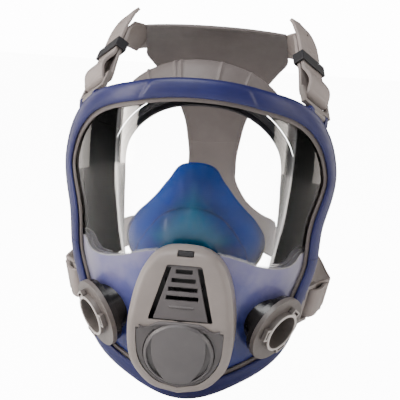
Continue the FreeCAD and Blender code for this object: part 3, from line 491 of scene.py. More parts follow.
def floor():
    material = bpy.data.materials.new("floor_white")
    material.use_nodes = True
    shader = material.node_tree.nodes["Principled BSDF"]
    shader.inputs["Roughness"].default_value = 0.7
    white = ramp(material, noise(material, 3.0), ((0.3, (0.90,) * 3), (0.7, (0.94,) * 3)))
    link(material, white, shader.inputs["Base Color"])
    output = material.node_tree.nodes["Material Output"]
    seen_bright(material.node_tree, shader.outputs[0], output, SEEN_WHITE * FLOOR_SHARE, True)
    height = (CAD_BOX[0][2] - FLOOR_GAP) / MM
    square = ((-1, -1), (1, -1), (1, 1), (-1, 1))
    corners = [Vector((x * FLOOR_REACH, y * FLOOR_REACH, height)) for x, y in square]
    mesh_object("floor", corners, [(0, 1, 2, 3)], material)


floor()


def soft_box(name, place, target, width, height, power, colour=(1, 1, 1)):
    lamp = bpy.data.lights.new(name, "AREA")
    lamp.shape = "RECTANGLE"
    lamp.size, lamp.size_y = width, height
    lamp.energy = power
    lamp.color = colour
    stand = bpy.data.objects.new(name, lamp)
    bpy.context.scene.collection.objects.link(stand)
    aim(stand, Vector(place), Vector(target))


WARM = (1.0, 0.93, 0.86)
soft_box("box_left", (-1.0, -0.55, 0.30), (0, 0, 0.02), 0.30, 1.1, 17, WARM)
soft_box("box_right", (1.05, -0.45, 0.30), (0, 0, 0.02), 0.26, 1.1, 6, WARM)
soft_box("box_top", (-0.35, -0.6, 1.25), (0, 0, 0), 0.9, 0.7, 18)
soft_box("box_front", (-0.5, -1.7, 0.8), (0, 0, 0), 0.8, 0.6, 5)
soft_box("card_left", (-0.95, 0.42, 0.10), (0, -0.03, 0.02), 0.42, 1.0, 5, WARM)
soft_box("card_right", (0.95, 0.42, 0.10), (0, -0.03, 0.02), 0.42, 1.0, 5, WARM)

world = bpy.data.worlds.new("studio")
world.use_nodes = True
tree = world.node_tree
sky = tree.nodes["Background"]
sky.inputs["Color"].default_value = (1, 1, 1, 1)
sky.inputs["Strength"].default_value = SKY_LIGHT
seen_bright(tree, sky.outputs[0], tree.nodes["World Output"], SEEN_WHITE, False)
bpy.context.scene.world = world

# ---- cutting and joining meshes


def boolean(piece, tools, operation):
    """The piece joined with or cut by other meshes, applied at once."""
    for tool in tools:
        step = piece.modifiers.new("step", "BOOLEAN")
        step.operation = operation
        step.solver = "EXACT"
        step.object = tool
        apply_modifiers(piece)
    for tool in tools:
        mesh = tool.data
        bpy.data.objects.remove(tool)
        bpy.data.meshes.remove(mesh)


def apply_modifiers(piece):
    graph = bpy.context.evaluated_depsgraph_get()
    graph.update()
    mesh = bpy.data.meshes.new_from_object(piece.evaluated_get(graph))
    old = piece.data
    piece.modifiers.clear()
    piece.data = mesh
    mesh.name = piece.name
    bpy.data.meshes.remove(old)


def smooth_again(piece, sharp=32):
    piece.data.shade_smooth()
    piece.data.set_sharp_from_angle(angle=math.radians(sharp))


def keep(piece, body, replaced):
    """Puts a finished piece on a body, in place of a CAD node."""
    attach(piece, body)
    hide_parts(replaced)


def soften(thing, width, segments=3, angle=32):
    """Rounds a piece's sharp edges."""
    weld = thing.modifiers.new("weld", "WELD")
    weld.merge_threshold = 0.00002
    edge = thing.modifiers.new("edge", "BEVEL")
    edge.width = width * MM
    edge.segments = segments
    edge.limit_method = "ANGLE"
    edge.angle_limit = math.radians(angle)
    edge.use_clamp_overlap = True
    edge.harden_normals = False
    even = thing.modifiers.new("even", "WEIGHTED_NORMAL")
    even.keep_sharp = False


def stacked_faces(rings, sides):
    """Faces of a solid through stacked rings of points, in the order the boolean cutters need."""
    faces = []
    for k in range(rings - 1):
        for i in range(sides):
            j = (i + 1) % sides
            faces.append((k * sides + i, k * sides + j, (k + 1) * sides + j, (k + 1) * sides + i))
    faces.append(tuple(reversed(range(sides))))
    faces.append(tuple((rings - 1) * sides + i for i in range(sides)))
    return faces


def rod_mesh(start, way, radius, length, material, sides=48, crown=0.0):
    """A round bar from a point along a way, its ends' edges rounded by a crown."""
    axis = Vector(way).normalized()
    side = axis.orthogonal().normalized()
    up = axis.cross(side)
    rings = [(radius, 0.0), (radius, length)]
    if crown:
        rings = [(radius - crown, 0.0), (radius - crown * 0.3, crown * 0.3), (radius, crown)]
        rings += [(r, length - height) for r, height in reversed(rings)]
    turns = [2 * math.pi * i / sides for i in range(sides)]
    verts = []
    for r, height in rings:
        middle = Vector(start) + axis * height
        verts += [middle + side * (r * math.cos(a)) + up * (r * math.sin(a)) for a in turns]
    return mesh_object("tool", verts, stacked_faces(len(rings), sides), material)


def prism_mesh(outline, way, material):
    """A straight prism from an outline."""
    count = len(outline)
    faces = [tuple(reversed(range(count))), tuple(range(count, 2 * count))]
    for i in range(count):
        j = (i + 1) % count
        faces.append((i, j, count + j, count + i))
    return mesh_object("tool", outline + [v + way for v in outline], faces, material)


def flipped(vector, side):
    return Vector((vector.x * side, vector.y, vector.z))


PORT = on_lens(PORT_X, PORT_Z)
INLET_ROOM = ((-1.5, 18.5), (2.1, 23.9), (6.6, 25.5))  # (start along the inlet, radius)
ROOM_LENGTH = 30


def clear_of_inlets(piece, material):
    """Cuts room for both inlets out of a piece."""
    tools = []
    for low, radius in INLET_ROOM:
        for _, side in SIDES:
            way = flipped(PORT_WAY, side)
            start = flipped(PORT, side) + way * low
            tools.append(rod_mesh(start, way, radius, ROOM_LENGTH, material))
    boolean(piece, tools, "DIFFERENCE")


# ---- lens ring

RING_PROFILE = (
    (-7.6, 1.7), (-8.1, 2.8), (-7.2, 4.1), (-4.6, 4.8), (-1.5, 5.1), (1.6, 4.9), (4.0, 4.1),
    (5.4, 2.6), (5.8, 0.2), (5.7, -5.0), (5.2, -7.5), (4.0, -8.4), (-3.2, -8.4), (-3.6, -7.9),
    (-3.6, -5.4), (3.2, -5.4), (3.2, 1.7),
)
RING_SHAPE = rounded(RING_PROFILE, 0.9, 3)
RING_STATIONS = 241
RING_GAP = 0.12  # degrees
BROW_RISE, BROW_SLANT = 0.75, 0.75
BROW_FROM, BROW_TO = 33.0, 34.3
SEAM_AT, SEAM_HALF, SEAM_DEPTH = 34.9, 0.9, 0.35
LUG_SHAPE = rounded(((4.8, -7.8), (12.4, -7.8), (12.4, -0.8), (4.8, -0.8)), 1.6, 4)
SCREW_OFF, SCREW_OUT, SCREW_HOLE_R = 8.9, -4.3, 1.65
EAR_STARTS, EAR_WIDE, EAR_R = (-9.6, 6.5), 3.1, 3.4
EAR_WEB = rounded(((-5.5, -2.9), (0.0, -3.4), (0.0, 3.4), (-5.5, 4.2)), 0.6, 3)
PIN_HOLE_R = 1.31
HOLE_HALF = 20  # half the length of a hole's cutter


def split_angle():
    """The angle at which the lens's edge passes the split between the ring's halves."""
    low, high = -30.0, 10.0
    for _ in range(40):
        middle = (low + high) / 2
        if edge_point(middle).z < SPLIT_Z:
            low = middle
        else:
            high = middle
    return low


SPLIT = split_angle()


def step_up(value, low, high):
    """0 below low, 1 above high and smooth between."""
    k = min(1.0, max(0.0, (value - low) / (high - low)))
    return k * k * (3 - 2 * k)


def ring_point(angle, off, out):
    """A point of the ring's section, raised in front between the slanted seams on the brow."""
    point, out_way, off_way, _ = edge_frame(angle)
    front = step_up(out, 1.8, 3.4)
    if point.z > 0:
        reach = abs(point.x) + BROW_SLANT * off
        out += BROW_RISE * front * (1 - step_up(reach, BROW_FROM, BROW_TO))
        seam = max(0.0, 1 - abs(reach - SEAM_AT) / SEAM_HALF)
        out -= SEAM_DEPTH * front * seam
    return point + off_way * off + out_way * out


def ring_half_mesh(name, low, high):
    sections = []
    for i in range(RING_STATIONS):
        angle = low + (high - low) * i / (RING_STATIONS - 1)
        sections.append([ring_point(angle, off, out) for off, out in RING_SHAPE])
    verts, faces = band(sections, False)
    return mesh_object(name, verts, faces, RING_BLUE, 40)


def joint_frame(side):
    """Where the ring's halves meet on a side: the point, the way off the edge, out of the lens and up."""
    point, out, off, along = edge_frame(SPLIT)
    if along.z < 0:
        along.negate()
    return [flipped(v, side) for v in (point, off, out, along)]


def lug_mesh(side, low, high):
    """A clamping lug with rounded edges."""
    point, off, out, along = joint_frame(side)
    outline = [point + off * a + out * b + along * low for a, b in LUG_SHAPE]
    return prism_mesh(outline, along * (high - low), RING_BLUE)


def screw_hole(side):
    point, off, out, along = joint_frame(side)
    start = point + off * SCREW_OFF + out * SCREW_OUT + along * -HOLE_HALF
    return rod_mesh(start, along, SCREW_HOLE_R, 2 * HOLE_HALF, RING_BLUE, 32)


def pin_hole(frame_of):
    return rod_mesh(at(frame_of, 0, -HOLE_HALF, 0), frame_of[2], PIN_HOLE_R, 2 * HOLE_HALF, RING_BLUE, 32)


def buckle_frame(angle, pin_angle, off_by, out_by, lead):
    """A buckle's pin and the ways along its strap, along its pin, out of its face, off the edge and out."""
    point, out, off, _ = edge_frame(angle)
    along = edge_frame(pin_angle)[3]
    pin = point + off * off_by + out * out_by
    off = (off - along * off.dot(along)).normalized()
    out = (out - along * out.dot(along)).normalized()
    strap = (lead - along * lead.dot(along)).normalized()
    face = strap.cross(along).normalized()
    if face.dot(out) < 0:
        face.negate()
    return pin, strap, strap.cross(face) * -1, face, off, out


UPPER = buckle_frame(47, 52, 9.8, -4.5, Vector((-0.12, 0.75, 0.645)))
LOWER = buckle_frame(-33, -33, 9.8, -1.5, Vector((0.45, 0.88, 0.10)))


def at(frame_of, along_strap, along_pin, outward):
    origin, strap, pin, face = frame_of[:4]
    return origin + strap * along_strap + pin * along_pin + face * outward


def other_side(frame_of):
    return [flipped(v, -1) for v in frame_of]


def ear_meshes(frame_of):
    """One side's two ears and the webs that carry them."""
    pin, along, off, out = frame_of[0], frame_of[2], frame_of[4], frame_of[5]
    shapes = []
    for low in EAR_STARTS:
        shapes.append(rod_mesh(at(frame_of, 0, low, 0), along, EAR_R, EAR_WIDE, RING_BLUE, 40, 0.5))
        outline = [pin + off * a + out * b + along * low for a, b in EAR_WEB]
        shapes.append(prism_mesh(outline, along * EAR_WIDE, RING_BLUE))
    return shapes


def ring_piece(name, low, high, lugs, frame_of):
    ring = ring_half_mesh(name, low, high)
    for _, side in SIDES:
        here = frame_of if side > 0 else other_side(frame_of)
        boolean(ring, ear_meshes(here) + [lug_mesh(side, *lugs)], "UNION")
        boolean(ring, [screw_hole(side), pin_hole(here)], "DIFFERENCE")
    return ring


ring_upper = ring_piece("ring_upper", SPLIT + RING_GAP, 180 - SPLIT - RING_GAP, (0.35, 7.0), UPPER)
ring_lower = ring_piece("ring_lower", -180 - SPLIT + RING_GAP, SPLIT - RING_GAP, (-7.0, -0.35), LOWER)
clear_of_inlets(ring_lower, RING_BLUE)
for ring, replaced in ((ring_upper, "lens_ring_upper"), (ring_lower, "lens_ring_lower")):
    smooth_again(ring, 38)
    keep(ring, "mask", replaced)

# ---- facepiece, face seal and nose cup

RIM_R = (
    (90, 108), (70, 106), (50, 98), (30, 84), (10, 74), (-10, 71), (-30, 74), (-50, 86), (-70, 96),
    (-90, 101),
)
RIM_Y = (
    (90, -34), (70, -26), (50, -8), (30, 12), (10, 22), (-10, 22), (-30, 16), (-50, 4), (-70, -8),
    (-90, -12),
)
BULGE = ((90, 21), (70, 17), (55, 7), (40, 2), (10, 2), (-10, 2), (-40, 2), (-60, 1), (-75, 0), (-90, 0))
LIP_R = (
    (90, 93), (70, 92), (50, 84), (30, 67), (10, 59), (-10, 58), (-30, 62), (-50, 72), (-70, 82),
    (-90, 88),
)
LIP_Y = (
    (90, -26), (70, -19), (50, -5), (30, 8), (10, 14), (-10, 14), (-30, 9), (-50, -1), (-70, -12),
    (-90, -16),
)


def ring_of(radii, depths, angle, inward=0.0, back=0.0):
    """A point at an angle on a line round the face, moved inward and back."""
    x, z = polar(smooth(radii, angle) - inward, angle)
    return Vector((x, smooth(depths, angle) + back, z))


rim_point = partial(ring_of, RIM_R, RIM_Y)
lip_point = partial(ring_of, LIP_R, LIP_Y)


def wall_point(angle, inward=0.0):
    neck = beside_edge(angle, -4.6, -9.6)
    rim = rim_point(angle)
    x, z = polar(smooth(BULGE, angle) - inward, angle)
    return (neck + rim) * 0.5 + Vector((x, 0, z))


def curve(points, steps):
    """A smooth line through points."""
    padded = [points[0] * 2 - points[1]] + list(points) + [points[-1] * 2 - points[-2]]
    result = []
    for i in range(1, len(padded) - 2):
        p0, p1, p2, p3 = padded[i - 1:i + 3]
        for k in range(steps):
            t = k / steps
            square = p0 * 2 - p1 * 5 + p2 * 4 - p3
            cube = p1 * 3 - p0 - p2 * 3 + p3
            result.append((p1 * 2 + (p2 - p0) * t + square * t * t + cube * t**3) * 0.5)
    result.append(padded[-2])
    return result


RIB_ANGLES = (60, 74, 84, 97.5, 99.5, 109, 121)
RIB_HALF = 0.55  # degrees
RIB_HEIGHT = 1.4
CHANNEL_IN = ((-7.4, -8.6), (-7.4, -2.5), (2.3, -2.5), (2.3, 0.2), (-10.5, 0.2))
CHANNEL_OUT = ((-10.5, 1.4), (2.9, 1.4), (2.9, -5.1), (-4.2, -5.1))


def rib(angle):
    """The share of its full height that a rib has at an angle round the brow."""
    return max(math.exp(-(((angle - middle) / RIB_HALF) ** 2)) for middle in RIB_ANGLES)


def skirt_section(angle):
    """The facepiece's section, with a rounded wall and low ribs over the brow."""
    channel_in = [beside_edge(angle, *spot) for spot in CHANNEL_IN]
    channel_out = [beside_edge(angle, *spot) for spot in CHANNEL_OUT]
    neck = beside_edge(angle, -4.2, -9.2)
    outer = curve([neck, wall_point(angle), rim_point(angle)], 9)
    inner = curve([rim_point(angle, 3.6, 0.8), wall_point(angle, 2.8), channel_in[0]], 9)
    height = RIB_HEIGHT * rib((angle + 90) % 360 - 90)
    if height > 0.02:
        up = wall_point(angle) - wall_point(angle, 1)
        for i in range(1, 15):
            along = (i - 1) / 13
            rise = step_up(along, 0.0, 0.12)
            fall = 1 - step_up(along, 0.5, 0.72)
            outer[i] = outer[i] + up * height * rise * fall
    rim = [rim_point(angle, 0.4, 1.2), rim_point(angle, 1.6, 1.7), rim_point(angle, 3.0, 1.3)]
    return channel_out + outer + rim + inner + channel_in[1:]


def stations():
    """Angles round the facepiece, closer together over the ribbed brow."""
    angles, angle = [], -90.0
    while angle < 270 - 1e-6:
        angles.append(angle)
        angle += 0.3 if 55 <= angle < 125 else 1.5
    return angles


facepiece = mesh_object("facepiece_skin", *band([skirt_section(a) for a in stations()], True), RUBBER, 40)
clear_of_inlets(facepiece, RUBBER)
smooth_again(facepiece, 36)
keep(facepiece, "mask", "facepiece")


def seal_section(angle):
    """A soft flap that rolls in from the rear rim to the lip round the face."""
    outer = curve([
        rim_point(angle, 4.0, 0.6), rim_point(angle, 5.0, 2.6), rim_point(angle, 8.0, 3.8),
        lip_point(angle, -4.6, 4.6), lip_point(angle, -1.4, 2.6), lip_point(angle, 0.0, 0.2),
    ], 4)
    inner = curve([
        lip_point(angle, -1.2, -1.2), lip_point(angle, -3.0, 0.6), lip_point(angle, -6.0, 2.2),
        rim_point(angle, 9.4, 1.0), rim_point(angle, 6.6, 0.2), rim_point(angle, 5.0, -0.6),
    ], 4)
    return outer + inner


seal = mesh_object("face_seal_flap", *band([seal_section(a) for a in around(180)], True), SHADED_SEAL, 60)
keep(seal, "mask", "face_seal")

CREST_R = (
    (90, 23.5), (75, 24), (60, 25), (45, 26.5), (30, 27.8), (15, 29.6), (0, 33.5), (-10, 38),
    (-22, 42), (-35, 43), (-55, 47), (-70, 68), (-80, 80), (-90, 83),
)
CREST_Y = (
    (90, -73), (75, -72), (60, -70), (45, -67.5), (30, -64), (15, -60), (0, -56), (-10, -53),
    (-22, -49), (-35, -46), (-55, -44), (-70, -38), (-80, -35), (-90, -34),
)
REAR_R = (
    (90, 55.5), (77, 54), (65, 46.5), (48, 41.5), (32, 41.5), (16, 45.5), (0, 50.5), (-15, 51.5),
    (-35, 51), (-55, 58), (-70, 71), (-80, 78), (-90, 81),
)
REAR_Y = (
    (90, -52), (70, -47), (45, -37), (20, -27), (0, -20), (-30, -11), (-55, -8), (-70, -12),
    (-90, -16),
)
CREST_STEP = ((90, 0.0), (78, 0.4), (62, 1.0), (30, 1.0), (0, 1.0), (-14, 0.8), (-30, 0.0), (-90, 0.0))
LOBE = ((90, 2.0), (70, 3.0), (50, -1.5), (30, 1.0), (10, 4.5), (-15, 4.0), (-35, 2.0), (-90, 0.5))


CUP_FRONT_Z, CUP_FRONT_WIDE, CUP_FRONT_TALL = -46, 21.5, 34.0
CUP_WALL, CUP_EDGE_WALL = 2.2, 1.4
CUP_EDGE_ROWS = 4


def cup_front_point(angle, inward=0.0, inset=8.4):
    turned = math.radians(angle)
    x = (CUP_FRONT_WIDE - inward) * math.cos(turned)
    z = CUP_FRONT_Z + (CUP_FRONT_TALL - inward) * math.sin(turned)
    return on_lens(x, z, inset)


def cup_outside(angle):
    """The cup's outer line: from the housing over the snout's crest and out to the flap's edge."""
    front = cup_front_point(angle)
    shoulder = cup_front_point(angle, -3.4, 9.0)
    crest = ring_of(CREST_R, CREST_Y, angle)
    step = smooth(CREST_STEP, angle)
    rear = ring_of(REAR_R, REAR_Y, angle)
    below = crest.lerp(rear, 0.10) + Vector((0, 2.6 * step, 0))
    valley = crest.lerp(rear, 0.24) + Vector((0, 1.8 * step, 0))
    way = (rear - crest).normalized()
    swell = Vector((0, -1, 0)) + way * way.y
    lobe = crest.lerp(rear, 0.62) + swell * smooth(LOBE, angle)
    near = crest.lerp(rear, 0.90) + swell * smooth(LOBE, angle) * 0.45
    bridge = shoulder.lerp(crest, 0.62) + Vector((0, -1.0, 0))
    line = curve([front, shoulder, bridge, crest, below, valley, lobe, near, rear], 7)
    groove = len(line) - CUP_EDGE_ROWS
    line[groove] = line[groove] + Vector((0, 0.7, 0))
    return line


def cup_section(angle):
    outside = cup_outside(angle)
    inside = []
    for i, point in enumerate(outside):
        ahead = outside[min(i + 1, len(outside) - 1)] - outside[max(i - 1, 0)]
        radial = Vector((point.x, 0, point.z)).normalized()
        across = Vector((radial.z, 0, -radial.x))
        inward = ahead.cross(across).normalized()
        if inward.dot(Vector((-radial.x, 1.2, -radial.z))) < 0:
            inward.negate()
        inside.append(point + inward * (CUP_WALL if i < len(outside) - CUP_EDGE_ROWS else CUP_EDGE_WALL))
    return outside + inside[::-1]


cup = mesh_object("nose_cup_skin", *band([cup_section(a) for a in around(240)], True), CUP, 60)
keep(cup, "mask", "nose_cup")

# ---- straps and harness

STRAP_HALF = 11.5
STRAP_THICK = 2.6
STRAP_HOLE_R = 1.25
BAR_AT = 17.3
FOLD_R = 3.6
SPLIT_AT = 30.0
LOOP_TURNS, LOOP_ENDS = 18, 29  # where along its strap a loop leaves its buckle
GIVE_FROM, GIVE_TO = 31, 43  # a span along a strap, from its buckle towards the harness
ARM_END_X, ARM_SUNK_X = 55.6, 50.0
HEAD = Vector((0, 25, 49))
HEAD_DEEP = 82.0
HEAD_TALL = 102.0
SWEEP_Y = -222.0
STRAP_SHAPE = rounded(
    ((-STRAP_HALF, -1.3), (STRAP_HALF, -1.3), (STRAP_HALF, 1.3), (-STRAP_HALF, 1.3)), 0.75, 3,
)
STRAP_GREY = moulded(
    "strap_grey", (0.225, 0.192, 0.182), (0.280, 0.244, 0.232), (0.46, 0.60), bump=0.12, grain=1500,
)


def head_depth(z):
    return HEAD.y + HEAD_DEEP * math.sqrt(max(0.0, 1 - ((z - HEAD.z) / HEAD_TALL) ** 2))


def harness_point(x, z, inset=0.0):
    """A point of the harness's outer face, or of a face inset from it."""
    radius = head_depth(z) - SWEEP_Y
    point = Vector((x, SWEEP_Y + math.sqrt(radius**2 - x**2), z))
    return point - head_normal(point) * inset


def head_normal(point):
    deep = math.hypot(point.x, point.y - SWEEP_Y) + SWEEP_Y - HEAD.y
    radial = Vector((point.x, point.y - SWEEP_Y, 0)).normalized()
    return (radial * (deep / HEAD_DEEP**2) + Vector((0, 0, (point.z - HEAD.z) / HEAD_TALL**2))).normalized()


def strap_mesh(name, rows, steps=5, taper=None):
    """A strap through rows of (middle, width way, normal), its width and thickness tapered."""
    middles = curve([row[0] for row in rows], steps)
    wides = curve([row[1].normalized() for row in rows], steps)
    normals = curve([row[2].normalized() for row in rows], steps)
    sections = []
    last = len(middles) - 1
    for i, (middle, wide, normal) in enumerate(zip(middles, wides, normals)):
        ahead = (middles[min(i + 1, last)] - middles[max(i - 1, 0)]).normalized()
        wide = (wide - ahead * wide.dot(ahead)).normalized()
        face = ahead.cross(wide)
        if face.dot(normal) < 0:
            face.negate()
        narrow, thin = taper(i / last) if taper else (1.0, 1.0)
        sections.append([middle + wide * (a * narrow) + face * (b * thin) for a, b in STRAP_SHAPE])
    verts, faces = band(sections, False)
    return mesh_object(name, verts, faces, STRAP_GREY, 50)


def front_layer_rows(frame_of, stops):
    _, strap, pin, face = frame_of[:4]
    return [(at(frame_of, u, w, n), pin, face - strap * curl) for u, w, n, curl in stops]


TAIL = (
    (SPLIT_AT, 0, 5.2, -0.28), (33, 0, 4.1, -0.30), (36, 0, 2.8, -0.25), (38.3, 0, 1.95, -0.10),
    (41, 0, 1.65, 0), (45, 0, 1.6, 0), (50, 0, 1.6, 0), (56, 0, 1.6, 0), (63, 0.3, 1.9, 0.0),
    (71, 1.5, 2.1, 0.03), (80, 5.0, 1.4, 0.15), (88, 9.0, -0.8, 0.30),
)
LOWER_TAIL = ((SPLIT_AT, 0, 2.6, -0.1), (34, 0, 1.9, -0.05), (38, 0, 1.6, 0))


def loop_rows(frame_of, bulge):
    """The strap's folded end: its front layer, the fold round the bar and its back layer."""
    path = [(SPLIT_AT, bulge[0]), (26, bulge[1]), (21.5, bulge[2])]
    for turned in (95, 120, 145, 180, 215, 240, 265):
        angle = math.radians(turned)
        path.append((BAR_AT + FOLD_R * math.cos(angle), FOLD_R * math.sin(angle)))
    path += [(21.5, -3.4), (26, -2.9), (SPLIT_AT, -2.4)]
    rows = []
    for i, (u, n) in enumerate(path):
        before, after = path[max(i - 1, 0)], path[min(i + 1, len(path) - 1)]
        run, rise = after[0] - before[0], after[1] - before[1]
        rows.append((at(frame_of, u, 0, n), frame_of[2], frame_of[1] * -rise + frame_of[3] * run))
    return rows


def arm_end(height, x):
    inner = harness_point(x, height)
    normal = head_normal(inner)
    return inner - normal * (STRAP_THICK / 2), normal.cross(Vector((1, 0, 0))), normal


def arm_rows(frame_of, straight, height, between):
    """An arm from its buckle, straight at first, to the harness plate."""
    end = arm_end(height, ARM_END_X)
    wide = frame_of[2] if frame_of[2].dot(end[1]) > 0 else -frame_of[2]
    rows = [(at(frame_of, u, 0, n), wide, frame_of[3]) for u, n in straight]
    for share, shift in between:
        middle = rows[len(straight) - 1][0].lerp(end[0], share) + Vector(shift)
        rows.append((middle, wide.lerp(end[1], share), frame_of[3].lerp(end[2], share)))
    rows.append(end)
    rows.append(arm_end(height, ARM_SUNK_X))
    return rows


def on_side(rows, side):
    return [tuple(flipped(v, side) for v in row) for row in rows]


def place_strap(piece, replaced, body_from, body_to, start, end):
    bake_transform(piece)
    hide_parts(replaced)


def strap_holes(piece, frame_of, spots):
    tools = []
    for u, n in spots:
        tools.append(rod_mesh(at(frame_of, u, 0, n - 6), frame_of[3], STRAP_HOLE_R, 12, STRAP_GREY, 24))
    boolean(piece, tools, "DIFFERENCE")
    smooth_again(piece, 50)


def oval_pad(frame_of, along_strap, outward):
    """A low oval pad on the strap's front, sunk a little into it."""
    half_wide, half_long, count = 3.6, 2.3, 28
    rings = ((1.0, -0.8), (1.0, 0.05), (0.9, 0.3), (0.7, 0.48), (0.4, 0.58), (0.12, 0.6))
    verts = []
    for share, height in rings:
        for i in range(count):
            turned = 2 * math.pi * i / count
            reach = half_long * share * math.sin(turned)
            aside = half_wide * share * math.cos(turned)
            verts.append(at(frame_of, along_strap + reach, aside, outward + height))
    return mesh_object("tool", verts, stacked_faces(len(rings), count), STRAP_GREY)


def tail_taper(share):
    """The free end narrows a little at its tip."""
    return 1.0 - 0.30 * step_up(share, 0.90, 1.0) ** 1.5, 1.0


def arm_taper(share):
    """The arm's end sinks into the harness plate."""
    sunk = step_up(share, 0.86, 0.93)
    return 1.0 - 0.03 * sunk, 1.0 - 0.2 * sunk


UPPER_STRAIGHT = ((SPLIT_AT, -2.4), (37, -1.7), (45, -1.6), (53, -1.6), (61, -1.6))
LOWER_STRAIGHT = ((SPLIT_AT, -2.4), (36, -1.8), (42, -1.6), (48, -1.6))
UPPER_BETWEEN = (
    (0.10, (0.4, -1.6, 3.6)), (0.25, (1.6, -2.6, 5.0)), (0.45, (3.2, -3.0, 5.0)),
    (0.68, (3.0, -2.2, 3.4)), (0.86, (1.4, -1.0, 1.4)),
)
LOWER_BETWEEN = (
    (0.12, (2.2, 3.0, 0)), (0.30, (5.8, 6.2, 0)), (0.50, (8.0, 8.0, 0)), (0.70, (6.6, 6.8, 0)),
    (0.87, (3.0, 3.2, 0)),
)
UPPER_BULGE, LOWER_BULGE = (5.2, 6.1, 5.6), (2.6, 3.6, 4.0)
STRAPS = (
    ("upper", UPPER, UPPER_STRAIGHT, 137, UPPER_BETWEEN, TAIL, UPPER_BULGE, tail_taper),
    ("lower", LOWER, LOWER_STRAIGHT, -18, LOWER_BETWEEN, LOWER_TAIL, LOWER_BULGE, None),
)
for word, side in SIDES:
    for which, base, straight, height, between, tail_stops, bulge, taper in STRAPS:
        here = base if side > 0 else other_side(base)
        loop_start, loop_end = at(here, LOOP_TURNS, 0, 0), at(here, LOOP_ENDS, 0, 0)
        give = at(here, GIVE_FROM, 0, 0), at(here, GIVE_TO, 0, 0)
        loop = strap_mesh(f"{which}_loop_{word}", on_side(loop_rows(base, bulge), side))
        buckle = f"{which}_buckle_{word}"
        place_strap(loop, f"{which}_strap_loop_{word}", buckle, "mask", loop_start, loop_end)
        arm_line = on_side(arm_rows(base, straight, height, between), side)
        arm = strap_mesh(f"{which}_arm_{word}", arm_line, 6, arm_taper)
        tail_line = on_side(front_layer_rows(base, tail_stops), side)
        tail = strap_mesh(f"{which}_tail_{word}", tail_line, 5, taper)
        arm_node = tail_node = f"{which}_strap_{word}"
        if which == "upper":
            boolean(tail, [oval_pad(here, 62.5, 3.1)], "UNION")
            strap_holes(tail, here, ((35, 4.1), (77, 1.8)))
            tail_node = f"upper_strap_tail_{word}"
        place_strap(arm, arm_node, "mask", "harness", *give)
        place_strap(tail, tail_node, "mask", "harness", *give)


SIDE_UP = (
    (33, 93), (38.5, 101.5), (44, 109), (50, 117), (56, 124.5), (56, 130), (56, 136),
    (55.7, 142.4), (53.5, 147.8),
)
SIDE_MIDDLE = ((21, 24), (20, 34.5), (20, 45), (22, 58), (24.5, 71), (28.5, 82), (33, 93))
SIDE_DOWN = ((56, -31), (56, -22), (56, -14), (56, -5), (44, 0), (31, 9), (21, 24))
CENTRE_UP = (93, 100, 107, 114, 121, 128, 135, 143, 150.4)
CENTRE_DOWN = (-22, -18, -13, -7, 1, 11, 24)
PLATE_TOP = 150.6
PLATE_BOW = 2.2


def harness_mesh():
    """The harness's back plate, on the back of the head."""
    sides = list(SIDE_DOWN) + list(SIDE_MIDDLE[1:]) + list(SIDE_UP[1:])
    centres = list(CENTRE_DOWN) + [z for _, z in SIDE_MIDDLE[1:]] + list(CENTRE_UP[1:])
    rows = curve([Vector((x, side_z, centre_z)) for (x, side_z), centre_z in zip(sides, centres)], 3)
    across = 32
    verts, faces = [], []
    for inset in (0.0, STRAP_THICK):
        for reach, side_z, centre_z in rows:
            for i in range(across + 1):
                k = 2 * i / across - 1
                z = centre_z + (side_z - centre_z) * abs(k) ** PLATE_BOW
                verts.append(harness_point(k * reach, min(z, PLATE_TOP), inset))
    count = len(rows)
    layer = count * (across + 1)
    for r in range(count - 1):
        for i in range(across):
            a = r * (across + 1) + i
            b = a + across + 1
            faces.append((a, a + 1, b + 1, b))
            faces.append((layer + a, layer + b, layer + b + 1, layer + a + 1))
    border = list(range(across))
    border += [r * (across + 1) + across for r in range(count - 1)]
    border += [(count - 1) * (across + 1) + i for i in range(across, 0, -1)]
    border += [r * (across + 1) for r in range(count - 1, 0, -1)]
    for i, a in enumerate(border):
        b = border[(i + 1) % len(border)]
        faces.append((a, layer + a, layer + b, b))
    return mesh_object("harness_plate", verts, faces, RUBBER, 50)


harness = harness_mesh()
soften(harness, 0.7, 3, 50)
keep(harness, "harness", "harness_back")
for word, _ in SIDES:
    soften(frame["nodes"][f"upper_buckle_{word}"], 0.5)
    soften(frame["nodes"][f"lower_buckle_{word}"], 0.5)
    soften(frame["nodes"][f"strap_keeper_{word}"], 0.6)

# ---- front housing

COVER_HALF = (
    (0, 3.5), (11, 2.4), (20, -2), (26.8, -10), (31.2, -20), (34.4, -34), (36.2, -53), (34.8, -73),
    (29, -86), (17.5, -97), (0, -102),
)
FRONT_LINE = ((5.0, -91.2), (-1.0, -97.5), (-48.0, -107.0), (-96.0, -92.5), (-104.0, -86.0))
SPINE_TOP, SPINE_LOW = -26.0, -66.0
EDGE_ROUND = 5.5
COVER_THICK = 2.4
WINDOW = ((-11.9, -9.0), (11.9, -9.0), (22.1, -45.8), (-22.1, -45.8))
LATCH_WINDOW = ((-5.7, -3.6), (5.7, -3.6), (5.7, 0.6), (-5.7, 0.6))
CAP_ROOM_START, CAP_ROOM_R = 13.3, 24.6
CUT_FROM, CUT_TO = -125, -60
DRAWN_IN = (0.88, 0.72, 0.55, 0.36, 0.18, 0.04)
LEDGE_LOW = -52.5
LEDGE_RISE = (
    (0.0, -2.0), (0.0, 0.7), (0.06, 1.5), (0.16, 1.9), (0.30, 1.8), (0.42, 1.2), (0.52, 0.5),
    (1.0, 0.35),
)
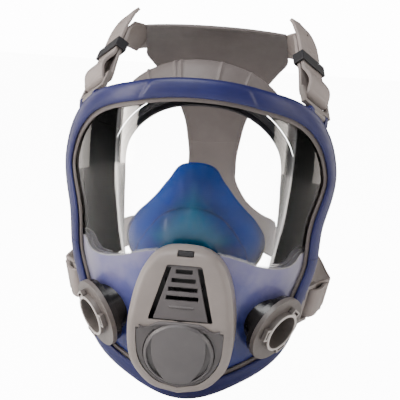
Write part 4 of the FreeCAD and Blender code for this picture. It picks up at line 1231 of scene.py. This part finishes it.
RIDGE = (
    (-27.4, -49.6), (-25.2, -50.7), (-22.5, -50.9), (-19.6, -49.6), (-16.8, -47.7), (-13.6, -46.6),
    (-9, -46.3), (0, -46.2), (9, -46.3), (13.6, -46.6), (16.8, -47.7), (19.6, -49.6),
    (22.5, -50.9), (25.2, -50.7), (27.4, -49.6),
)


def front_depth(z):
    """The Y of the cover's front at a height, its bend at the ledge eased."""
    shifts = (-2.0, -1.0, 0.0, 1.0, 2.0)
    total = 0.0
    for shift in shifts:
        height = min(max(z + shift, FRONT_LINE[-1][0]), FRONT_LINE[0][0])
        for (z0, y0), (z1, y1) in zip(FRONT_LINE, FRONT_LINE[1:]):
            if z1 <= height <= z0:
                total += y0 + (y1 - y0) * (z0 - height) / (z0 - z1)
                break
    return total / len(shifts)


def cover_outline():
    half = curve([Vector((x, 0, z)) for x, z in COVER_HALF], 8)
    left = [Vector((-p.x, 0, p.z)) for p in reversed(half[1:-1])]
    return half + left


OUTLINE = cover_outline()


def inset_outline(distance):
    """The outline moved in by a distance, square to itself."""
    moved = []
    count = len(OUTLINE)
    for i, point in enumerate(OUTLINE):
        ahead = OUTLINE[(i + 1) % count] - OUTLINE[i - 1]
        inward = Vector((ahead.z, 0, -ahead.x)).normalized()
        if inward.dot(Vector((0, 0, -50)) - point) < 0:
            inward.negate()
        moved.append(point + inward * distance)
    return moved


def shrunk_outline(start, share):
    """The outline from a start inset, drawn in towards the cover's spine."""
    moved = []
    for point in inset_outline(start):
        middle = Vector((0, 0, min(max(point.z, SPINE_LOW), SPINE_TOP)))
        moved.append(middle + (point - middle) * share)
    return moved


def back_depth(point):
    return on_lens(point.x, min(point.z, 3.0), -2.2).y


def behind_front(outline, distance):
    """An outline's points a distance behind the cover's front."""
    return [Vector((p.x, front_depth(p.z) + distance, p.z)) for p in outline]


def above_back(point):
    return min(back_depth(point) - 0.4, front_depth(point.z) + EDGE_ROUND + 0.3)


def cover_mesh():
    """A shell with a rounded shoulder, open at the back."""
    outer, inner = inset_outline(0.0), inset_outline(COVER_THICK)
    sections = [
        [Vector((p.x, back_depth(p), p.z)) for p in inner],
        [Vector((p.x, back_depth(p), p.z)) for p in outer],
        [Vector((p.x, above_back(p), p.z)) for p in outer],
    ]
    for i in range(9):
        turned = math.radians(90 * i / 8)
        distance = EDGE_ROUND * (1 - math.cos(turned))
        drop = EDGE_ROUND * (1 - math.sin(turned))
        sections.append(behind_front(inset_outline(distance), drop))
    for share in DRAWN_IN:
        sections.append(behind_front(shrunk_outline(EDGE_ROUND, share), -0.15))
    for share in reversed(DRAWN_IN):
        sections.append(behind_front(shrunk_outline(EDGE_ROUND, share), COVER_THICK))
    sections.append(behind_front(inset_outline(EDGE_ROUND), COVER_THICK + 0.8))
    sections.append(behind_front(inset_outline(COVER_THICK + 0.2), EDGE_ROUND + 0.8))
    verts, faces = band(sections, True)
    cover = mesh_object("cover_shell", verts, faces, HOUSING, 40)
    smooth_again(cover, 40)
    return cover


def window_cutter(points, radius=0.0):
    """A prism right through the cover from (x, z) corners."""
    outline = rounded(points, radius, 5) if radius else points
    way = Vector((0, CUT_TO - CUT_FROM, 0))
    return prism_mesh([Vector((x, CUT_FROM, z)) for x, z in outline], way, HOUSING)


def shield_outline(inset, top):
    """The part of the inset outline below a height."""
    kept = [(p.x, p.z) for p in inset_outline(inset) if p.z < top]
    right = sorted((c for c in kept if c[0] > 0), key=lambda c: -c[1])
    left = sorted((c for c in kept if c[0] <= 0), key=lambda c: c[1])
    return [(right[0][0], top)] + right + left + [(left[-1][0], top)]


def ledge_mesh():
    """The dark ledge over the cap, raised along its top."""
    sections = []
    across = curve([Vector((x, 0, z)) for x, z in RIDGE], 4)
    for point in across:
        row = []
        for share, rise in LEDGE_RISE:
            z = point.z + (LEDGE_LOW - point.z) * share if share < 1 else LEDGE_LOW
            row.append(Vector((point.x, front_depth(z) - rise, z)))
        row.append(Vector((point.x, front_depth(LEDGE_LOW) + 2.0, LEDGE_LOW)))
        sections.append(row)
    verts, faces = band(sections, False)
    return mesh_object("cover_ledge", verts, faces, INSERT, 50)


cover = cover_mesh()
under_ledge = [(x * 0.96, z - 0.7) for x, z in RIDGE] + [(26.2, -52.2), (-26.2, -52.2)]
tools = [
    window_cutter(WINDOW, 1.8),
    window_cutter(LATCH_WINDOW, 0.7),
    window_cutter(shield_outline(6.4, -52.0)),
    window_cutter(under_ledge),
    rod_mesh(OUT + OUT_WAY * CAP_ROOM_START, OUT_WAY, CAP_ROOM_R, 40, HOUSING, 96),
]
boolean(cover, tools, "DIFFERENCE")
smooth_again(cover, 40)
edge = cover.modifiers.new("edge", "BEVEL")
edge.width = 0.7 * MM
edge.segments = 3
edge.limit_method = "ANGLE"
edge.angle_limit = math.radians(45)
apply_modifiers(cover)
smooth_again(cover, 50)
ledge = ledge_mesh()
keep(cover, "mask", "housing_cover")
keep(ledge, "mask", "housing_cover")
# The housing body gets the dark plastic in place of its grey: painted shade behind the cover's slots.
for place in frame["nodes"]["housing_body"].material_slots:
    place.material = DARK
soften(frame["nodes"]["front_grille"], 0.45)
soften(frame["nodes"]["exhaust_shield"], 0.6)
soften(frame["nodes"]["cover_latch"], 0.5)
soften(frame["nodes"]["exhaust_cap"], 0.55)

RIM_FROM, RIM_TO = 0.0140, 0.0149
RIM_GREY = (0.52, 0.48, 0.46)


def inlet_material():
    """Dark on the flange and light towards the tube's rim."""
    material = moulded(
        "inlet_grey", (0.105, 0.092, 0.088), (0.130, 0.115, 0.108), (0.34, 0.46), bump=0.08, grain=1600,
    )
    shader = material.node_tree.nodes["Principled BSDF"]
    grey = shader.inputs["Base Color"].links[0].from_socket
    axes = object_axes(material)
    along = math_node(material, "MULTIPLY", math_node(material, "ABSOLUTE", axes["X"]), PORT_WAY.x)
    along = math_node(material, "MULTIPLY_ADD", axes["Y"], PORT_WAY.y, along)
    along = math_node(material, "MULTIPLY_ADD", axes["Z"], PORT_WAY.z, along)
    reach = PORT.dot(PORT_WAY) * MM
    rim = soft_step(material, along, reach + RIM_FROM, reach + RIM_TO)
    link(material, mix_colour(material, rim, grey, RIM_GREY), shader.inputs["Base Color"])
    return material


INLET = inlet_material()
for word, _ in SIDES:
    connector = frame["nodes"][f"inlet_connector_{word}"]
    for place in connector.material_slots:
        place.material = INLET
    soften(connector, 0.45)
    soften(frame["nodes"][f"inlet_gasket_{word}"], 0.7)
